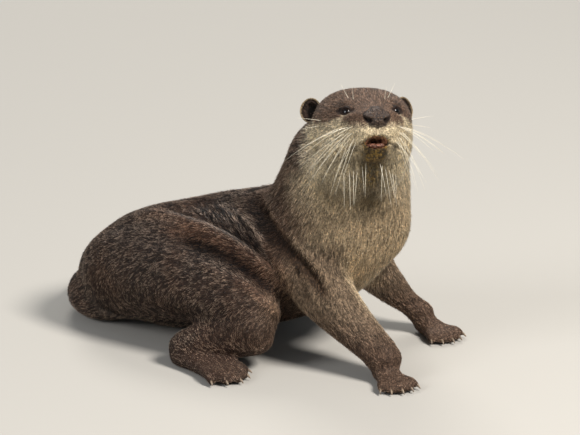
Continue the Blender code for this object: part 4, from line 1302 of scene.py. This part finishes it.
def make_studio():
    """Plain pale floor, a broad soft key from the upper right, two weaker lamps and a dim sky."""
    bpy.ops.mesh.primitive_circle_add(vertices=96, radius=9.0, fill_type="NGON")
    floor = bpy.context.object
    floor.name = "floor"
    floor.data.materials.append(plain_material(*FLOOR_PAINT))
    for lamp in LAMPS:
        make_light(*lamp)
    world = bpy.data.worlds.new("studio")
    world.use_nodes = True
    sky = world.node_tree.nodes["Background"].inputs
    sky["Color"].default_value = linear("#cfd6dd")
    sky["Strength"].default_value = 0.42
    bpy.context.scene.world = world
    bpy.context.scene.view_settings.view_transform = "Standard"


# Materials

# Nodes: Blender's name, settings, the inputs that values go to in turn, and the output
NODES = {
    "attribute": ("ShaderNodeAttribute", {}, (), "Fac"),
    "place": ("ShaderNodeTexCoord", {}, (), "Object"),
    "noise": ("ShaderNodeTexNoise", {}, ("Vector", "Scale", "Detail"), "Fac"),
    "cells": ("ShaderNodeTexVoronoi", {}, ("Vector", "Scale"), "Distance"),
    "ramp": ("ShaderNodeValToRGB", {}, ("Fac",), "Color"),
    "mix": ("ShaderNodeMix", {"data_type": "RGBA"}, (0, 6, 7), 2),
    "times": ("ShaderNodeMath", {"operation": "MULTIPLY"}, (0, 1), 0),
    "plus": ("ShaderNodeMath", {"operation": "ADD"}, (0, 1), 0),
    "above": ("ShaderNodeMath", {"operation": "GREATER_THAN"}, (0, 1), 0),
    "tint": ("ShaderNodeVectorMath", {"operation": "MULTIPLY"}, (0, 1), "Vector"),
    "bump": ("ShaderNodeBump", {}, ("Height", "Strength", "Distance"), "Normal"),
}


def feed(socket, value):
    """Links a socket to another node's output, or sets it to a value or to an sRGB hex colour."""
    if isinstance(value, bpy.types.NodeSocket):
        socket.id_data.links.new(value, socket)
    else:
        socket.default_value = linear(value) if isinstance(value, str) else value


def add_node(tree, kind, *values, **settings):
    """Adds a node with its settings and inputs, and a ramp's stops: positions with hex colours or levels."""
    name, fixed, inputs, output = NODES[kind]
    made = tree.nodes.new(name)
    for key, value in {**fixed, **settings}.items():
        setattr(made, key, value)
    for key, value in zip(inputs, values):
        feed(made.inputs[key], value)
    stops = values[len(inputs) :]
    for _ in stops[2:]:
        made.color_ramp.elements.new(0.5)
    for i, (position, colour) in enumerate(stops):
        made.color_ramp.elements[i].position = position
        level = linear(colour) if isinstance(colour, str) else (*np.broadcast_to(colour, 3).tolist(), 1.0)
        made.color_ramp.elements[i].color = level
    return made.outputs[output]


def new_material(name, roughness, specular=0.5):
    """A material, its shader's inputs and the function that adds nodes to it."""
    made = bpy.data.materials.new(name)
    made.use_nodes = True
    inputs = made.node_tree.nodes["Principled BSDF"].inputs
    inputs["Roughness"].default_value = roughness
    inputs["Specular IOR Level"].default_value = specular
    return made, inputs, partial(add_node, made.node_tree)


def pitch(size):
    """Scale of a pattern whose grain measures so many millimetres."""
    return 1.0 / (size * MM)


def plain_material(name, roughness, colour):
    """One even colour."""
    made, inputs, _ = new_material(name, roughness)
    feed(inputs["Base Color"], colour)
    return made


def grained_material(name, roughness, size, *stops):
    """A grain of a size in mm between the colours of its stops."""
    made, inputs, add = new_material(name, roughness)
    feed(inputs["Base Color"], add("ramp", add("noise", add("place"), pitch(size), 3.0), *stops))
    return made


def coat_material(name, skin_deep):
    """Short dense fur: dark roots, paler tips that fleck it, cream on the cheeks and throat.

    A hair is under 0.1 mm thick, too fine to show, so its flecks are drawn 1.2 to 3.2 mm wide.
    """
    made, inputs, add = new_material(name, *((0.7, 0.12) if skin_deep else (0.5, 0.28)))
    own = ("bare", "gape") if skin_deep else ("along", "shade")
    read = {key: add("attribute", attribute_name=key) for key in (*MARKS, *own)}
    place = add("place")
    along = 0.2 if skin_deep else read["along"]
    shade = add("noise", place, pitch(1.2), 1.0) if skin_deep else read["shade"]
    bright = add("ramp", along, *zip((0.0, 0.45, 1.0), FUR))
    dull = add("ramp", along, (0.0, FUR[0]), (1.0, FUR[1]))
    tones = (RUST, CROWN, PALE, BUFF)
    red, crown, pale, buff = (add("ramp", along, *zip((0.0, 0.5, 1.0), tone)) for tone in tones)
    flecked = add("mix", add("above", shade, 0.56), dull, bright)
    patches = add("ramp", add("noise", place, pitch(50.0), 2.0), (0.42, 0.0), (0.62, 1.0))
    rusty = add("mix", add("times", patches, 0.25), flecked, red)
    rusty = add("mix", add("times", read["rust"], 0.68), rusty, red)
    brown = add("mix", read["crown"], rusty, crown)
    colour = add("mix", read["pale"], brown, add("mix", read["buff"], pale, buff))
    ochre = add("ramp", add("noise", place, pitch(3.2), 1.0), (0.48, STAIN_DARK), (0.56, STAIN))
    colour = add("mix", add("times", read["stain"], 0.9), colour, ochre)
    # dark hair of the face, and painted shade under the nose
    colour = add("mix", read["dark"], colour, LIP_DARK)
    # painted shade under the chin, tinted by the throat's stain
    colour = add("mix", read["olive"], colour, add("mix", 0.88, colour, SHADED_OLIVE))
    strong = add("ramp", shade, (0.12, 0.18), (0.5, 0.72), (0.88, 2.0))
    gentle = add("ramp", shade, (0.12, 0.42), (0.5, 0.9), (0.88, 1.7))
    light = add("mix", read["pale"], strong, gentle)
    # painted light and shade of the folds: lighter on crests and wrinkles, darker and redder in hollows
    fold = add("plus", read["relief"], 0.5)
    lit = add("ramp", fold, (0.0, (0.30, 0.25, 0.22)), (0.5, 1.0), (1.0, (1.5, 1.45, 1.4)))
    grain = add("ramp", add("noise", place, pitch(2.4), 2.0), (0.34, 0.6), (0.66, 1.4))
    for factor in (light, lit, grain):
        colour = add("tint", colour, factor)
    if skin_deep:
        colour = add("mix", read["bare"], colour, LIP_DARK)
        flesh = add("ramp", add("noise", place, pitch(3.5), 3.0), (0.40, "#4c2b1e"), (0.60, FLESH_RED))
        colour = add("mix", read["gape"], colour, flesh)
        feed(inputs["Normal"], add("bump", shade, 0.7, 0.6 * MM))
    feed(inputs["Base Color"], colour)
    return made


def eye_material():
    """Near-black wet eye: dark brown iris round a black pupil, under a clear sharp gloss."""
    made, inputs, add = new_material("wet_eye", 0.08, 0.3)
    ahead = add("attribute", attribute_name="ahead")
    iris = add("ramp", ahead, (0.60, "#1a100b"), (0.80, "#2b1a10"), (0.90, "#1c110b"), (0.93, "#050303"))
    feed(inputs["Base Color"], iris)
    return made


def nose_material():
    """Bare skin, dull with a slight damp shine, in pebbles drawn 1.7 mm wide so that they show."""
    made, inputs, add = new_material("pebbled_nose_skin", 0.5, 0.27)
    place = add("place")
    pebble = add("cells", place, pitch(1.7))
    colour = add("ramp", pebble, (0.1, "#66503f"), (0.65, "#1a1310"))
    blotch = add("ramp", add("noise", place, pitch(4.0), 3.0), (0.40, 0.0), (0.60, 0.8))
    colour = add("mix", blotch, colour, NOSE_SKIN)
    # painted shade, near black, in the nostrils and along the pad's lower rim
    feed(inputs["Base Color"], add("mix", add("attribute", attribute_name="hollow"), colour, "#060403"))
    feed(inputs["Normal"], add("bump", pebble, 1.0, 0.9 * MM, invert=True))
    return made


def ear_material():
    """Thin-haired skin of the ear: tan along the rim, and painted shade near black in the hollow."""
    made, inputs, add = new_material("ear_skin", 0.9, 0.1)
    colour = add("mix", add("attribute", attribute_name="rim"), FUR[1], "#a08a6c")
    # painted shade: near black in the hollow
    feed(inputs["Base Color"], add("mix", add("attribute", attribute_name="hollow"), colour, "#0c0806"))
    return made


# Moist skin of the tongue: a clear shine over dark papillae, drawn 1.8 mm wide so that they show
TONGUE_SKIN = ("moist_tongue", 0.3, 1.8, (0.42, "#3f241a"), (0.54, "#7a5341"), (0.68, GUM_PINK))
# Horn of the claws, worn dull: brown with a soft shine, its fibres drawn 2 mm wide so that they show
WORN_HORN = ("worn_horn", 0.4, 2.0, (0.3, "#4d4034"), (0.7, "#8a7762"))
# Stiff hair of the whiskers: cream white with a smooth shine
WHISKER_HAIR = ("whisker_hair", 0.35, "#e3dac4")
# Matt paint of the studio's floor: one even tone without shine
FLOOR_PAINT = ("matt_paint_floor", 0.9, "#a8a49d")

make_camera()
make_studio()
skin = make_skin()
thin_trunk(skin)
detail_head(skin)
skin_points = points_of(skin.data)
mark(skin.data, {**markings(skin_points), "bare": bare_share(skin_points), "gape": gape_share(skin_points)})
finish_piece(skin, coat_material("coat_on_skin", True), "coat_dark", *FLESH)
coat = coat_material("coat_tufts", False)
make_coat(skin, coat)
make_eyes(eye_material())
make_nose(nose_material())
make_ears(ear_material(), coat)
make_tongue(grained_material(*TONGUE_SKIN))
make_claws(grained_material(*WORN_HORN))
make_whiskers(plain_material(*WHISKER_HAIR), surface_of(skin))
